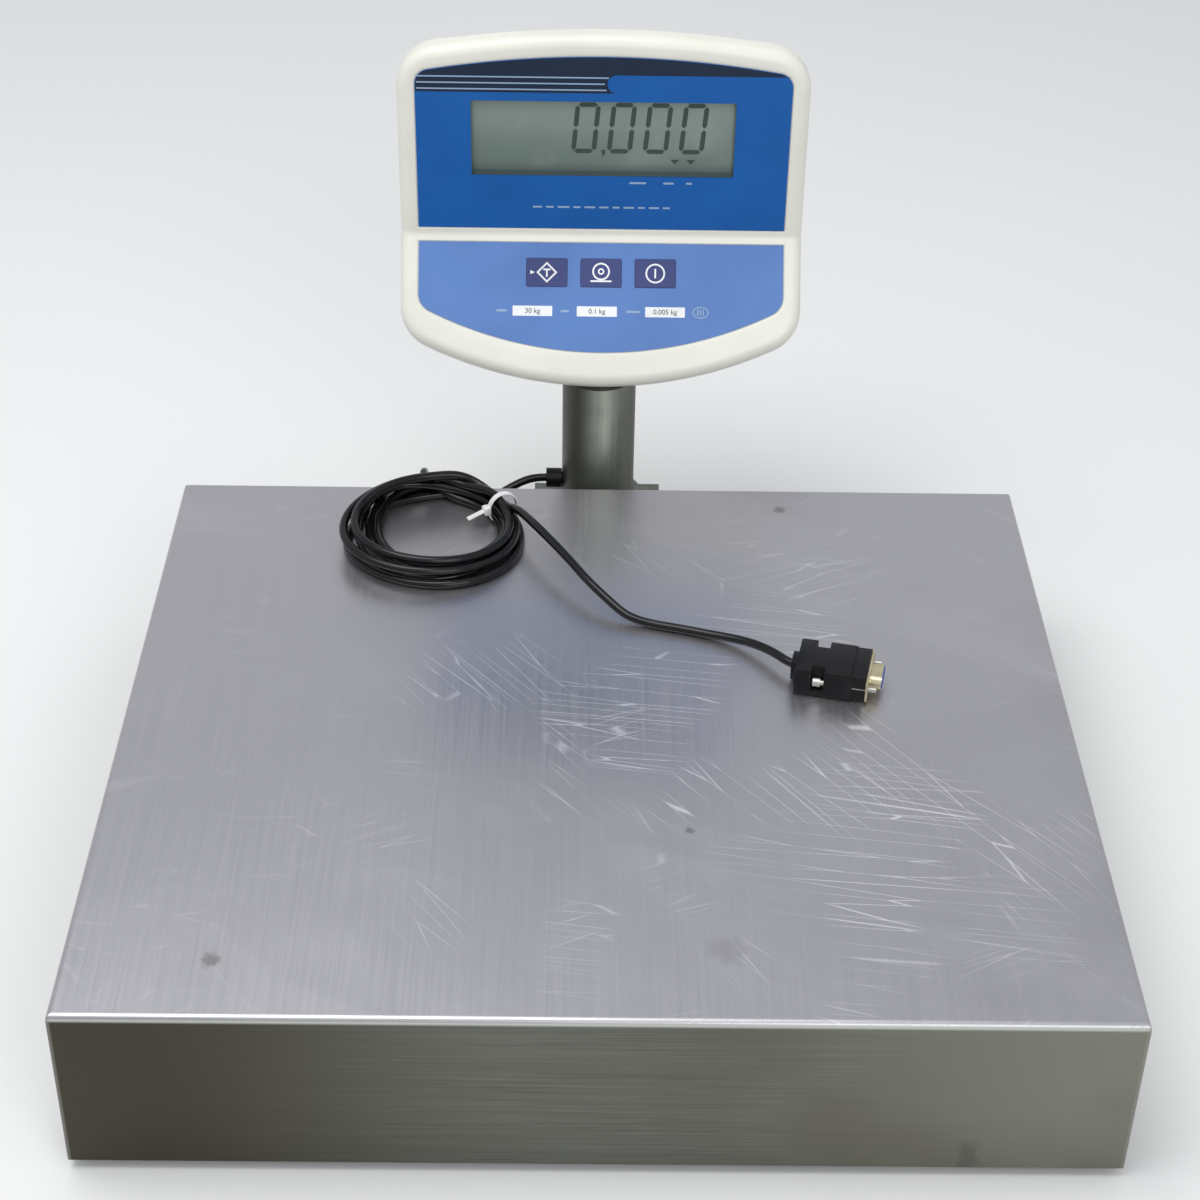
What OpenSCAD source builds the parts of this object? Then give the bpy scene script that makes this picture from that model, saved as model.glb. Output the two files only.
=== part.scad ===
// Bench and pallet scale: stainless platter on a single-point load cell, with an indicator on a rear column.
// Millimetres. +Z up, the front is -Y, +X is to the right of someone reading the display.

/* [Platter] */
// Width of the platter, left to right
platter_w = 500; // [300:10:800]
// Depth of the platter, front to rear
platter_d = 450; // [300:10:800]
// Height of the folded skirt, from its lower edge to the weighing surface
skirt_h = 94; // [80:1:140]
// Free gap between the skirt and the floor
floor_gap = 6; // [3:0.5:12]
// Thickness of the stainless sheet
sheet_t = 1.5; // [1:0.1:3]
// Outer radius of the sheet bends
bend_r = 3; // [2:0.5:8]
// Width of the notch in the rear skirt that the column arm passes
notch_w = 92; // [70:1:140]

/* [Base frame] */
// Side of the square steel tube of the base frame
rail_s = 30; // [20:1:40]
// Wall of the steel tube
rail_t = 2; // [1.5:0.1:4]
// Height of the underside of the base frame above the floor
base_z = 15; // [14:0.5:22]
// Distance from the platter's side to the middle of a side rail
rail_inset = 45; // [35:1:80]

/* [Feet] */
// Thread diameter of a levelling foot
foot_thread = 10; // [8:1:14]
// Diameter of a foot pad
foot_pad_d = 38; // [28:1:50]
// Height of a foot pad
foot_pad_h = 8; // [6:0.5:12]
// Clearance around the thread
thread_gap = 0.05; // [0.02:0.01:0.1]

/* [Load cell] */
// Length of the single-point load cell
cell_l = 150; // [120:1:200]
// Width of the load cell
cell_w = 34; // [25:1:50]
// Height of the load cell
cell_h = 25; // [20:1:30]
// Height of the plates above and below the load cell
pad_t = 5; // [3:0.5:8]
// Width of an arm of the load frame
arm_w = 26; // [20:1:40]

/* [Column] */
// Outer diameter of the column
column_d = 44.45; // [32:0.05:60]
// Wall of the column
column_t = 1.5; // [1:0.1:3]
// Distance from the platter's rear edge to the column's axis
column_gap = 40; // [34:1:80]
// Top of the column above the weighing surface
column_rise = 57; // [50:1:200]

/* [Indicator] */
// Width of the indicator
head_w = 237; // [200:1:280]
// Height of the display face above the bend, at the middle
face_h = 122.5; // [100:0.5:150]
// Length of the keypad slope below the bend, at the middle
slope_h = 88; // [70:0.5:110]
// Angle of the keypad slope from vertical
slope_deg = 35; // [20:1:45]
// Depth of the front bezel
bezel_t = 13; // [10:0.5:20]
// Depth of the rear cover behind the display face
cover_depth = 58; // [45:1:80]
// Wall of the plastic shells
shell_t = 2.5; // [2:0.1:4]
// Width of the display window
window_w = 152; // [100:1:170]
// Height of the display window
window_h = 46; // [30:1:60]
// Radius of the outline's upper arc
top_arc_r = 600; // [300:10:900]
// Radius of the outline's lower arc
bottom_arc_r = 247; // [180:1:400]
// Corner radius of the outline
corner_r = 25; // [10:1:30]

/* [Keys] */
// Width of a key
key_w = 24; // [16:0.5:28]
// Height of a key
key_h = 16.6; // [12:0.2:20]
// Distance between two keys
key_pitch = 32; // [30:0.5:40]
// Travel of a key
key_travel = 0.5; // [0.3:0.1:1]

/* [Cable] */
// Diameter of the data cable
cord_d = 5; // [4:0.1:7]
// Outer radius of the coil
coil_r = 55; // [45:1:60]

/* [Hidden] */
$fn = 48;
gap = 0.3;
deck_z = floor_gap + skirt_h;
rail_top = base_z + rail_s;
rail_x = platter_w / 2 - rail_inset;
rail_end = platter_d / 2 - 28;
cross_y = rail_end - rail_s / 2;
beam_w = 60;
cell_z = rail_top + pad_t;
cell_top = cell_z + cell_h;
arm_z = cell_top + pad_t;
arm_h = 9;
bumper_z = arm_z + arm_h;
bumper_top = deck_z - sheet_t;
bumper_d = 26;
bumper_pin_d = 9;
bumper_x = platter_w / 2 - 60;
bumper_y = platter_d / 2 - 60;
stop_at = 0.82;
stop_gap = 1;
foot_x = rail_x;
foot_y = platter_d / 2 - 62;
foot_top = 58;
nut_s = 17;
column_y = platter_d / 2 + column_gap;
arm_outer = 60;
arm_wall = rail_t + 0.5;
plate_t = 5;
plate_w = 80;
socket_d = column_d + 10;
socket_h = 22;
column_bolt_head = 10;
column_bolt_x = 22;
column_bolt_y = sqrt(pow(socket_d / 2 + 7, 2) - pow(column_bolt_x, 2));
vial_d = 13;
vial_y = column_y + socket_d / 2 + vial_d / 2 + 1;
plate_y0 = column_y - column_bolt_y - 6;
plate_y1 = vial_y + vial_d / 2 + 3;
arm_end = plate_y1 + 2;
column_z0 = rail_top + plate_t;
column_z1 = deck_z + column_rise;
cap_t = 3;
head_gap = 4.5;
gland_z = 82;
gland_x = -32;

// Indicator: the bend line is at face_y, bend_z; the pivot is pivot_y, pivot_z.
slope_sin = sin(slope_deg);
slope_cos = cos(slope_deg);
face_y = column_y + 15;
bend_z = column_z1 + slope_h * slope_cos + bezel_t * slope_sin + head_gap;
pivot_y = face_y + 1;
pivot_z = column_z1 + 29;
pivot_d = 8;
edge_r = 6;
cover_inset = 4;
box_bottom = bend_z - 27;
cover_y = face_y + cover_depth;
fork_x = 17;
fork_t = 4;
fork_foot = 12;
bore_d = 30;
lug_w = 30;
label_side = 107.8;
label_low = 4.3;
label_top = 111;
label_top_r = 585;
label_low_r = 231;
label_low_s = 69;
label_t = 0.5;
window_low = 38;
key_s = 22;
key_top = -0.3;
key_web = 2;
dome_top = 4.6;
dome_t = 1.4;
board_t = 1.6;
cover_b = bezel_t + 0.2;
half_tan = tan(slope_deg / 2);
rear_y = cover_y + 2;
coil_tube_r = 9;
shift_y = -(rear_y - platter_d / 2) / 2;
screw_x = 100;
screw_rows = [24, 96];
screw_head_t = 2.5;
coil_z = deck_z + coil_tube_r + 1.5;
coil_mid_r = coil_r - coil_tube_r;
tie_deg = 28;
inlet_x = 70;
inlet_z = box_bottom + 24;

// Colours of the materials
c_steel = [0.62, 0.62, 0.63];
c_paint = [0.36, 0.38, 0.36];
c_alu = [0.75, 0.76, 0.78];
c_rubber = [0.08, 0.08, 0.08];
c_zinc = [0.70, 0.70, 0.66];
c_black = [0.05, 0.05, 0.05];
c_cream = [0.89, 0.88, 0.80];
c_blue = [0.12, 0.34, 0.65];
c_lightblue = [0.42, 0.60, 0.80];
c_key = [0.30, 0.32, 0.52];
c_glass = [0.45, 0.52, 0.47];
c_board = [0.10, 0.35, 0.18];
c_white = [0.93, 0.93, 0.92];
c_gold = [0.80, 0.68, 0.42];
c_plugblue = [0.15, 0.28, 0.62];

// Coil, lead and cable runs: centres of the cable in the platter's frame, with z from the floor. What lies on
// the deck keeps its distance from the rear edge.
lay_y = platter_d / 2 - 225;
coil_at = [-95, 168 + lay_y];
cord_split = [-80, column_y - 13, 70];
rear_run = [
    [gland_x, column_y, gland_z],
    [-42, column_y, 81],
    [-54, column_y - 4, 77],
    [-66, column_y - 10, 72],
    [-74, column_y - 13, 70],
    cord_split
];
edge_run = [
    cord_split,
    [-86, column_y - 13, 70],
    [-96, column_y - 16, 71],
    [-103, column_y - 23, 76],
    [-105, platter_d / 2 + 9, 86],
    [-105, platter_d / 2 + 8, 98],
    [-105, platter_d / 2 + 5, 107],
    [-105, platter_d / 2 - 2, 111],
    [-104, platter_d / 2 - 10, 110]
];
lead_run = [
    [-54, 186, 111],
    [-47, 176, 115],
    [-38, 159, 117],
    [-28, 142, 117],
    [-17, 125, 115],
    [-6, 108, 112],
    [6, 94, 108],
    [16, 85, 104.5],
    [28, 80.5, 102.7],
    [44, 76, 102.6],
    [61, 70.5, 102.8],
    [74, 65, 104],
    [84, 58.5, 105.6],
    [92, 51, 107],
    [98, 43.5, 108],
    [102.4, 38, 108],
    [107, 35.3, 108]
];
hood_at = [126.5, 31 + lay_y];
hood_deg = -12.5;
hood_l = 40;
hood_w = 31;
hood_h = 16;

// ---------- helpers ----------

// A box with its middle at x = 0 unless given, from y0 to y1 and z0 to z1.
module bar(w, y0, y1, z0, z1, x = 0) {
    translate([x - w / 2, y0, z0])
        cube([w, y1 - y0, z1 - z0]);
}

// A rod along Z.
module rod(x, y, d, z0, z1) {
    translate([x, y, z0])
        cylinder(d = d, h = z1 - z0);
}

// A hexagon nut or head along Z.
module hex(x, y, s, z0, z1) {
    translate([x, y, z0])
        cylinder(d = s / cos(30), h = z1 - z0, $fn = 6);
}

// A folded section with two rounded upper corners.
module fold_2d(w, z0, z1, r) {
    translate([-w / 2, z0])
        square([w, z1 - r - z0]);
    translate([-w / 2 + r, z0])
        square([w - 2 * r, z1 - z0]);
    for (s = [-1, 1])
        translate([s * (w / 2 - r), z1 - r])
            circle(r = r);
}

// A tray-shaped block with rounded upper edges on all four sides.
module tray(w, d, z0, z1, r) {
    intersection() {
        rotate([90, 0, 0])
            translate([0, 0, -d])
                linear_extrude(height = 2 * d)
                    fold_2d(w, z0, z1, r);
        rotate([90, 0, 90])
            translate([0, 0, -w])
                linear_extrude(height = 2 * w)
                    fold_2d(d, z0, z1, r);
    }
}

// A square steel tube, open at both ends, along Y.
module tube_y(w, y0, y1, z0, z1, t, x = 0) {
    difference() {
        bar(w, y0, y1, z0, z1, x);
        bar(w - 2 * t, y0 - 1, y1 + 1, z0 + t, z1 - t, x);
    }
}

// A square steel tube, open at both ends, along X.
module tube_x(x0, x1, y, d, z0, z1, t) {
    difference() {
        translate([x0, y - d / 2, z0])
            cube([x1 - x0, d, z1 - z0]);
        translate([x0 - 1, y - d / 2 + t, z0 + t])
            cube([x1 - x0 + 2, d - 2 * t, z1 - z0 - 2 * t]);
    }
}

// ---------- cable ----------

function unit(v) = v / norm(v);
function tangent(p, i) = unit(p[min(i + 1, len(p) - 1)] - p[max(i - 1, 0)]);
function side(t, n) = unit(n - (n * t) * t);
function normals(p, i, n) = i >= len(p) ? []
    : let (m = side(tangent(p, i), n)) concat([m], normals(p, i + 1, m));
function ring(c, t, n, r, k) = let (b = cross(t, n)) [for (j = [0:k - 1]) let (a = 360 * j / k)
    c + r * cos(a) * n + r * sin(a) * b];

// A cable along the given centres.
module cable(p, d, n0 = [0, 0, 1], k = 10) {
    n = normals(p, 0, n0);
    m = len(p);
    pts = [for (i = [0:m - 1]) each ring(p[i], tangent(p, i), n[i], d / 2, k)];
    walls = [for (i = [0:m - 2]) for (j = [0:k - 1]) each [
        [i * k + j, (i + 1) * k + j, i * k + (j + 1) % k],
        [(i + 1) * k + j, (i + 1) * k + (j + 1) % k, i * k + (j + 1) % k]]];
    caps = [[for (j = [0:k - 1]) j], [for (j = [k - 1:-1:0]) (m - 1) * k + j]];
    polyhedron(points = pts, faces = concat(walls, caps));
}

// ---------- weighing platform ----------

module platter_body() {
    difference() {
        tray(platter_w, platter_d, floor_gap, deck_z, bend_r);
        tray(platter_w - 2 * sheet_t, platter_d - 2 * sheet_t, floor_gap - 1, deck_z - sheet_t,
            bend_r - sheet_t);
        bar(notch_w, platter_d / 2 - 5, platter_d / 2 + 5, floor_gap - 1, rail_top + plate_t + 5);
    }
}

module bumpers_body() {
    for (x = [-1, 1], y = [-1, 1]) {
        rod(x * bumper_x, y * bumper_y, bumper_d, bumper_z, bumper_top);
        rod(x * bumper_x, y * bumper_y, bumper_pin_d, arm_z + 2, bumper_z);
    }
}

// One arm of the load frame, from the middle to a corner.
module frame_arm(sx, sy) {
    a = atan2(bumper_y, bumper_x);
    l = norm([bumper_x, bumper_y]) + 16;
    rotate([0, 0, sx > 0 ? sy * a : 180 - sy * a])
        translate([0, -arm_w / 2, arm_z])
            cube([l, arm_w, arm_h]);
}

module load_frame_body() {
    difference() {
        union() {
            for (x = [-1, 1], y = [-1, 1])
                frame_arm(x, y);
            bar(150, -50, 50, arm_z, arm_z + arm_h);
        }
        for (x = [-1, 1], y = [-1, 1])
            rod(x * bumper_x, y * bumper_y, bumper_pin_d + 0.2, arm_z + 2, bumper_z + 1);
        for (x = [-1, 1], y = [-1, 1])
            rod(cell_l / 2 - 20 + x * 10, y * 9, 6.4, arm_z - 1, bumper_z + 1);
        for (x = [-1, 1], y = [-1, 1])
            rod(cell_l / 2 - 20 + x * 10, y * 9, 12, arm_z + arm_h - 5, bumper_z + 1);
    }
}

module cell_top_plate_body() {
    difference() {
        bar(40, -cell_w / 2 - 3, cell_w / 2 + 3, cell_top, arm_z, cell_l / 2 - 20);
        for (x = [-1, 1], y = [-1, 1])
            rod(cell_l / 2 - 20 + x * 10, y * 9, 6.4, cell_top - 1, arm_z + 1);
    }
}

module cell_top_bolts_body() {
    for (x = [-1, 1], y = [-1, 1]) {
        rod(cell_l / 2 - 20 + x * 10, y * 9, 6, cell_top - 10, arm_z + arm_h - 5);
        rod(cell_l / 2 - 20 + x * 10, y * 9, 10, arm_z + arm_h - 5, arm_z + arm_h - 0.5);
    }
}

// The load cell's bar with its double-hole cut-out, from x0 to x1.
module cell_part(x0, x1, bolt_x, z0, z1) {
    zc = cell_z + cell_h / 2;
    difference() {
        translate([x0, -cell_w / 2, cell_z])
            cube([x1 - x0, cell_w, cell_h]);
        for (x = [-1, 1])
            translate([x * 15, cell_w / 2 + 1, zc])
                rotate([90, 0, 0])
                    cylinder(d = cell_h - 5, h = cell_w + 2);
        bar(30, -cell_w, cell_w, zc - 4, zc + 4);
        for (x = [-1, 1], y = [-1, 1])
            rod(bolt_x + x * 10, y * 9, 6, z0, z1);
    }
}

module load_cell_live_body() {
    cell_part(gap / 2, cell_l / 2, cell_l / 2 - 20, cell_top - 10, cell_top + 1);
}

module load_cell_fixed_body() {
    cell_part(-cell_l / 2, -gap / 2, -cell_l / 2 + 20, cell_z - 1, cell_z + 10);
}

module cell_base_plate_body() {
    difference() {
        bar(40, -cell_w / 2 - 3, cell_w / 2 + 3, rail_top, cell_z, -cell_l / 2 + 20);
        for (x = [-1, 1], y = [-1, 1])
            rod(-cell_l / 2 + 20 + x * 10, y * 9, 6.4, rail_top - 1, cell_z + 1);
    }
}

module cell_base_bolts_body() {
    for (x = [-1, 1], y = [-1, 1]) {
        rod(-cell_l / 2 + 20 + x * 10, y * 9, 6, rail_top - rail_t, cell_z + 10);
        rod(-cell_l / 2 + 20 + x * 10, y * 9, 10, rail_top - rail_t - 6, rail_top - rail_t);
    }
}

// ---------- base frame ----------

module base_beam_body() {
    difference() {
        tube_x(-rail_x + rail_s / 2, rail_x - rail_s / 2, 0, beam_w, base_z, rail_top, rail_t);
        for (x = [-1, 1], y = [-1, 1])
            rod(-cell_l / 2 + 20 + x * 10, y * 9, 6.4, rail_top - rail_t - 1, rail_top + 1);
        for (x = [-1, 1], y = [-1, 1])
            rod(-cell_l / 2 + 20 + x * 10, y * 9, 14, base_z - 1, base_z + rail_t + 1);
    }
}

module base_rail(s) {
    difference() {
        tube_y(rail_s, -rail_end, rail_end, base_z, rail_top, rail_t, s * rail_x);
        for (y = [-1, 1])
            rod(s * foot_x, y * foot_y, foot_thread + 1, base_z - 1, rail_top + 1);
    }
}

module cross_rail(s) {
    tube_x(-rail_x + rail_s / 2, rail_x - rail_s / 2, s * cross_y, rail_s, base_z, rail_top, rail_t);
}

// Overload stops: a screw under each arm of the load frame, on a small bracket fixed to the rail.
module stop_screws_body() {
    for (x = [-1, 1], y = [-1, 1])
        stop_screw(x, y);
}

module stop_screw(x, y) {
    px = x * bumper_x * stop_at;
    py = y * bumper_y * stop_at;
    inner = rail_x - rail_s / 2;
    translate([x > 0 ? px - 12 : -inner, py - 12, rail_top - 6])
        cube([inner + 12 - bumper_x * stop_at, 24, 6]);
    rod(px, py, 8, rail_top - 6 - 4, arm_z - stop_gap - 4);
    rod(px, py, 13, arm_z - stop_gap - 4, arm_z - stop_gap);
    hex(px, py, 13, rail_top, rail_top + 5);
}

module foot_nuts_body() {
    for (x = [-1, 1], y = [-1, 1])
        difference() {
            hex(x * foot_x, y * foot_y, nut_s, rail_top, rail_top + 8);
            rod(x * foot_x, y * foot_y, foot_thread + 2 * thread_gap, rail_top - 1, rail_top + 9);
        }
}

module foot_stud(x, y) {
    rod(x * foot_x, y * foot_y, foot_thread, foot_pad_h, foot_top);
    hex(x * foot_x, y * foot_y, 15, foot_pad_h, foot_pad_h + 5);
    rod(x * foot_x, y * foot_y, foot_thread - 2, foot_pad_h - 4, foot_pad_h + 1);
}

module foot_pad(x, y) {
    translate([x * foot_x, y * foot_y, 0])
        difference() {
            rotate_extrude()
                polygon([[0, 0], [foot_pad_d / 2 - 1, 0], [foot_pad_d / 2, 1], [foot_pad_d / 2, 3],
                    [foot_pad_d / 2 - 8, foot_pad_h], [0, foot_pad_h]]);
            translate([0, 0, foot_pad_h - 4.2])
                cylinder(d = foot_thread - 2 + 2 * thread_gap, h = 6);
        }
}

// ---------- column ----------

module column_arm_body() {
    difference() {
        tube_y(arm_outer, rail_end, arm_end, base_z, rail_top, arm_wall);
        for (x = [-1, 1], y = [-1, 1])
            rod(x * column_bolt_x, column_y + y * column_bolt_y, 6.4, rail_top - 4, rail_top + 1);
    }
}

module column_plate_body() {
    difference() {
        union() {
            bar(plate_w, plate_y0, plate_y1, rail_top, column_z0);
            rod(0, column_y, socket_d, column_z0, column_z0 + socket_h);
        }
        rod(0, column_y, column_d + 0.1, column_z0, column_z0 + socket_h + 1);
        for (x = [-1, 1], y = [-1, 1])
            rod(x * column_bolt_x, column_y + y * column_bolt_y, 6.4, rail_top - 1, column_z0 + 1);
    }
}

module column_bolts_body() {
    for (x = [-1, 1], y = [-1, 1]) {
        rod(x * column_bolt_x, column_y + y * column_bolt_y, 6, rail_top - 10, column_z0);
        hex(x * column_bolt_x, column_y + y * column_bolt_y, column_bolt_head, column_z0, column_z0 + 4);
    }
}

module column_body() {
    difference() {
        rod(0, column_y, column_d, column_z0, column_z1);
        rod(0, column_y, column_d - 2 * column_t, column_z0 - 1, column_z1 + 1);
        translate([-column_d, column_y, gland_z])
            rotate([0, 90, 0])
                cylinder(d = 8.2, h = column_d);
    }
}

module level_vial_body() {
    difference() {
        rod(0, vial_y, vial_d, column_z0, column_z0 + 7);
        rod(0, vial_y, vial_d - 3, column_z0 + 2, column_z0 + 8);
    }
    rod(0, vial_y, vial_d - 3, column_z0 + 2, column_z0 + 6.4);
}

module cable_gland_body() {
    reach = -gland_x - column_d / 2;
    translate([gland_x, column_y, gland_z])
        rotate([0, 90, 0])
            difference() {
                union() {
                    cylinder(d = 12, h = reach - 0.2);
                    cylinder(d = 8, h = reach + column_t + 2);
                }
                translate([0, 0, 4])
                    cylinder(d = 4, h = 20);
            }
}

// Side view of one cheek of the fork, from the column's top to the pivot.
module fork_side_2d() {
    polygon([[column_y - fork_foot - 1, column_z1], [column_y + fork_foot - 1, column_z1],
        [pivot_y + 7, pivot_z - 3], [pivot_y, pivot_z + 7], [pivot_y - 7, pivot_z + 2]]);
}

// The steel fork on top of the column that the indicator tilts in.
module column_fork_body() {
    difference() {
        union() {
            rod(0, column_y, column_d, column_z1, column_z1 + cap_t);
            rod(0, column_y, column_d - 2 * column_t - 0.1, column_z1 - 12, column_z1);
            for (s = [-1, 1])
                translate([s > 0 ? fork_x : -fork_x - fork_t, 0, 0]) {
                    rotate([90, 0, 90])
                        linear_extrude(height = fork_t)
                            fork_side_2d();
                    translate([0, pivot_y, pivot_z])
                        rotate([0, 90, 0])
                            cylinder(r = 8, h = fork_t);
                }
        }
        translate([-60, pivot_y, pivot_z])
            rotate([0, 90, 0])
                cylinder(d = pivot_d + 0.1, h = 120);
        rod(0, column_y, bore_d, column_z1 - 13, column_z1 + cap_t + 1);
    }
}

module pivot_bolt_body() {
    translate([-fork_x - fork_t - 5, pivot_y, pivot_z])
        rotate([0, 90, 0]) {
            cylinder(d = pivot_d, h = 2 * fork_x + 2 * fork_t + 16);
            cylinder(d = 14, h = 5);
        }
}

module pivot_nut_body() {
    translate([fork_x + fork_t, pivot_y, pivot_z])
        rotate([0, 90, 0])
            difference() {
                union() {
                    cylinder(d = 15 / cos(30), h = 4, $fn = 6);
                    translate([0, 0, 4])
                        cylinder(d = 13, h = 4);
                }
                translate([0, 0, -1])
                    cylinder(d = pivot_d + 0.1, h = 10);
            }
}

// ---------- indicator ----------

// Outline with straight sides, an arc of radius r at the far end (height h) and rounded corners there.
// The arc's centre is on x = 0; the corner circles are tangent to the side and to the arc.
module arc_outline(hw, h, r, c, low) {
    cx = hw - c;
    cy = h - r + sqrt(pow(r - c, 2) - cx * cx);
    difference() {
        union() {
            translate([-hw, low])
                square([2 * hw, cy - low]);
            intersection() {
                translate([0, h - r])
                    circle(r = r, $fn = 180);
                translate([-cx, cy])
                    square([2 * cx, h]);
            }
            for (s = [-1, 1])
                translate([s * cx, cy])
                    circle(r = c);
        }
        translate([-2 * hw, low - 2 * h])
            square([4 * hw, 2 * h]);
    }
}

// Moves a flat outline onto the display face: x right, y up the face, thickness to the rear.
module on_face(t0, t1) {
    translate([0, face_y + t1, bend_z])
        rotate([90, 0, 0])
            linear_extrude(height = t1 - t0)
                children();
}

// Moves a flat outline onto the keypad slope: x right, y down the slope, thickness to the rear.
module on_slope(t0, t1) {
    translate([0, face_y, bend_z])
        rotate([-slope_deg, 0, 0])
            translate([0, t1, 0])
                rotate([90, 0, 0])
                    linear_extrude(height = t1 - t0)
                        mirror([0, 1])
                            children();
}

// Everything within the outlines of both faces, m inside the edge: a prism square to each face.
module outlines(m) {
    translate([0, face_y + 60, bend_z])
        rotate([90, 0, 0])
            linear_extrude(height = 120)
                arc_outline(head_w / 2 - m, face_h - m, top_arc_r - m, max(corner_r - m, 3), -30);
    on_slope(-60, 60)
        arc_outline(head_w / 2 - m, slope_h - m, bottom_arc_r - m, max(corner_r - m, 3), -30);
}

// The bent layer from t0 to t1 behind the two faces, within the outlines.
module bent_layer(t0, t1, m) {
    reach = slope_h + 20;
    down = [-slope_sin, -slope_cos] * reach;
    back = [slope_cos, -slope_sin];
    intersection() {
        translate([-head_w, face_y, bend_z])
            rotate([90, 0, 90])
                linear_extrude(height = 2 * head_w)
                    polygon([[t0, face_h + 20], [t0, -t0 * half_tan], down + back * t0, down + back * t1,
                        [t1, -t1 * half_tan], [t1, face_h + 20]]);
        outlines(m);
    }
}

module window_2d(m) {
    translate([-window_w / 2 - m, window_low - m])
        square([window_w + 2 * m, window_h + 2 * m]);
}

module key_2d(i, m) {
    translate([i * key_pitch - key_w / 2 - m, key_s - key_h / 2 - m])
        square([key_w + 2 * m, key_h + 2 * m]);
}

module bezel_body() {
    difference() {
        union() {
            bent_layer(0, 1.2, edge_r - 2);
            bent_layer(1.2, 4, 1.6);
            bent_layer(4, bezel_t, 0);
        }
        bent_layer(shell_t, bezel_t + 1, shell_t + 2);
        on_face(-1, shell_t + 1)
            window_2d(1);
        on_face(-1, label_t + 0.1)
            arc_outline(label_side + 0.2, label_top + 0.2, label_top_r, 9, label_low - 0.2);
        on_slope(-1, label_t + 0.1)
            arc_outline(label_side + 0.2, label_low_s + 0.2, label_low_r, 11.5, label_low - 0.2);
        for (i = [-1:1])
            on_slope(-1, shell_t + 1)
                key_2d(i, gap);
    }
    for (x = [-1, 1], u = screw_rows)
        boss(x * screw_x, u);
}

// A screw post behind the display face.
module boss(x, u) {
    translate([x, face_y + shell_t, bend_z + u])
        rotate([-90, 0, 0])
            difference() {
                cylinder(d = 8, h = bezel_t - shell_t - 0.5);
                translate([0, 0, 2])
                    cylinder(d = 3, h = bezel_t);
            }
}

// Side view of the rear cover, m inside its outer faces, with its open front f ahead of the bezel's back.
module cover_2d(m, f) {
    b = cover_b - f;
    lip = slope_h - 8 - 1.2 * m;
    top = bend_z + face_h - cover_inset;
    polygon([
        [face_y + b, top - m],
        [face_y + cover_b + 4 - 0.3 * m, top - m],
        [cover_y - m, top - 38 - m],
        [cover_y - m, box_bottom + m],
        [face_y + cover_b + 2 - 0.4 * m, box_bottom + m],
        [face_y - 18 - 0.66 * m, bend_z - 59 + 0.75 * m],
        [face_y - lip * slope_sin + b * slope_cos, bend_z - lip * slope_cos - b * slope_sin],
        [face_y + b, bend_z - b * half_tan]
    ]);
}

module cover_solid(m, f) {
    hw = head_w / 2 - cover_inset - m;
    intersection() {
        rotate([90, 0, 90])
            translate([0, 0, -hw])
                linear_extrude(height = 2 * hw)
                    cover_2d(m, f);
        union() {
            translate([0, cover_y + 20, bend_z])
                rotate([90, 0, 0])
                    linear_extrude(height = 2 * cover_depth)
                        arc_outline(hw, face_h - cover_inset - m, top_arc_r, corner_r - m, -30);
            on_slope(-20, 60)
                arc_outline(hw, slope_h - 8 - m, bottom_arc_r - 8, corner_r - m, -10);
        }
    }
}

// The posts around the cover screws, from the cover's back to the bezel's bosses.
module cover_posts(d, y0) {
    for (x = [-1, 1], u = screw_rows)
        translate([x * screw_x, y0, bend_z + u])
            rotate([-90, 0, 0])
                cylinder(d = d, h = 100);
}

module rear_cover_body() {
    difference() {
        union() {
            difference() {
                cover_solid(0, 0);
                cover_solid(shell_t, 3);
            }
            intersection() {
                cover_solid(0, 0);
                cover_posts(10, face_y + bezel_t + 1);
            }
        }
        cover_posts(6.6, face_y + bezel_t + 5);
        cover_posts(3.4, face_y);
        translate([inlet_x, cover_y - 10, inlet_z])
            rotate([-90, 0, 0])
                cylinder(d = 11.2, h = 20);
    }
}

// The lug under the rear cover, flush with its sloping floor, that turns on the pivot bolt.
module pivot_lug_body() {
    dy = cover_b + 20;
    dz = box_bottom - bend_z + 59;
    l = norm([dy, dz]);
    a = atan2(dz, dy);
    far = abs((pivot_z - bend_z + 59) * dy - (pivot_y - face_y + 18) * dz) / l;
    difference() {
        translate([-lug_w / 2, pivot_y, pivot_z])
            rotate([a, 0, 0])
                union() {
                    translate([0, -7, 0])
                        cube([lug_w, 14, far]);
                    rotate([0, 90, 0])
                        cylinder(r = 7, h = lug_w);
                }
        translate([-lug_w, pivot_y, pivot_z])
            rotate([0, 90, 0])
                cylinder(d = pivot_d + 0.1, h = 2 * lug_w);
    }
}

module cover_screws_body() {
    for (x = [-1, 1], u = screw_rows)
        translate([x * screw_x, face_y + bezel_t + 5, bend_z + u])
            rotate([90, 0, 0]) {
                translate([0, 0, -screw_head_t])
                    cylinder(d = 6, h = screw_head_t);
                cylinder(d = 2.9, h = bezel_t);
            }
}

module upper_label_body() {
    on_face(0.1, 0.1 + label_t)
        difference() {
            arc_outline(label_side, label_top, label_top_r, 9, label_low);
            window_2d(0);
        }
}

module lower_label_body() {
    on_slope(0.1, 0.1 + label_t)
        difference() {
            arc_outline(label_side, label_low_s, label_low_r, 11.5, label_low);
            for (i = [-1:1])
                key_2d(i, gap);
        }
}

module lcd_glass_body() {
    on_face(shell_t + 0.2, shell_t + 2.2)
        window_2d(4);
}

module lcd_carrier_body() {
    difference() {
        on_face(shell_t + 0.7, shell_t + 6)
            window_2d(7);
        on_face(shell_t - 1, shell_t + 2.3)
            window_2d(4.1);
        on_face(shell_t - 1, shell_t + 4.5)
            window_2d(1);
    }
}

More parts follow.
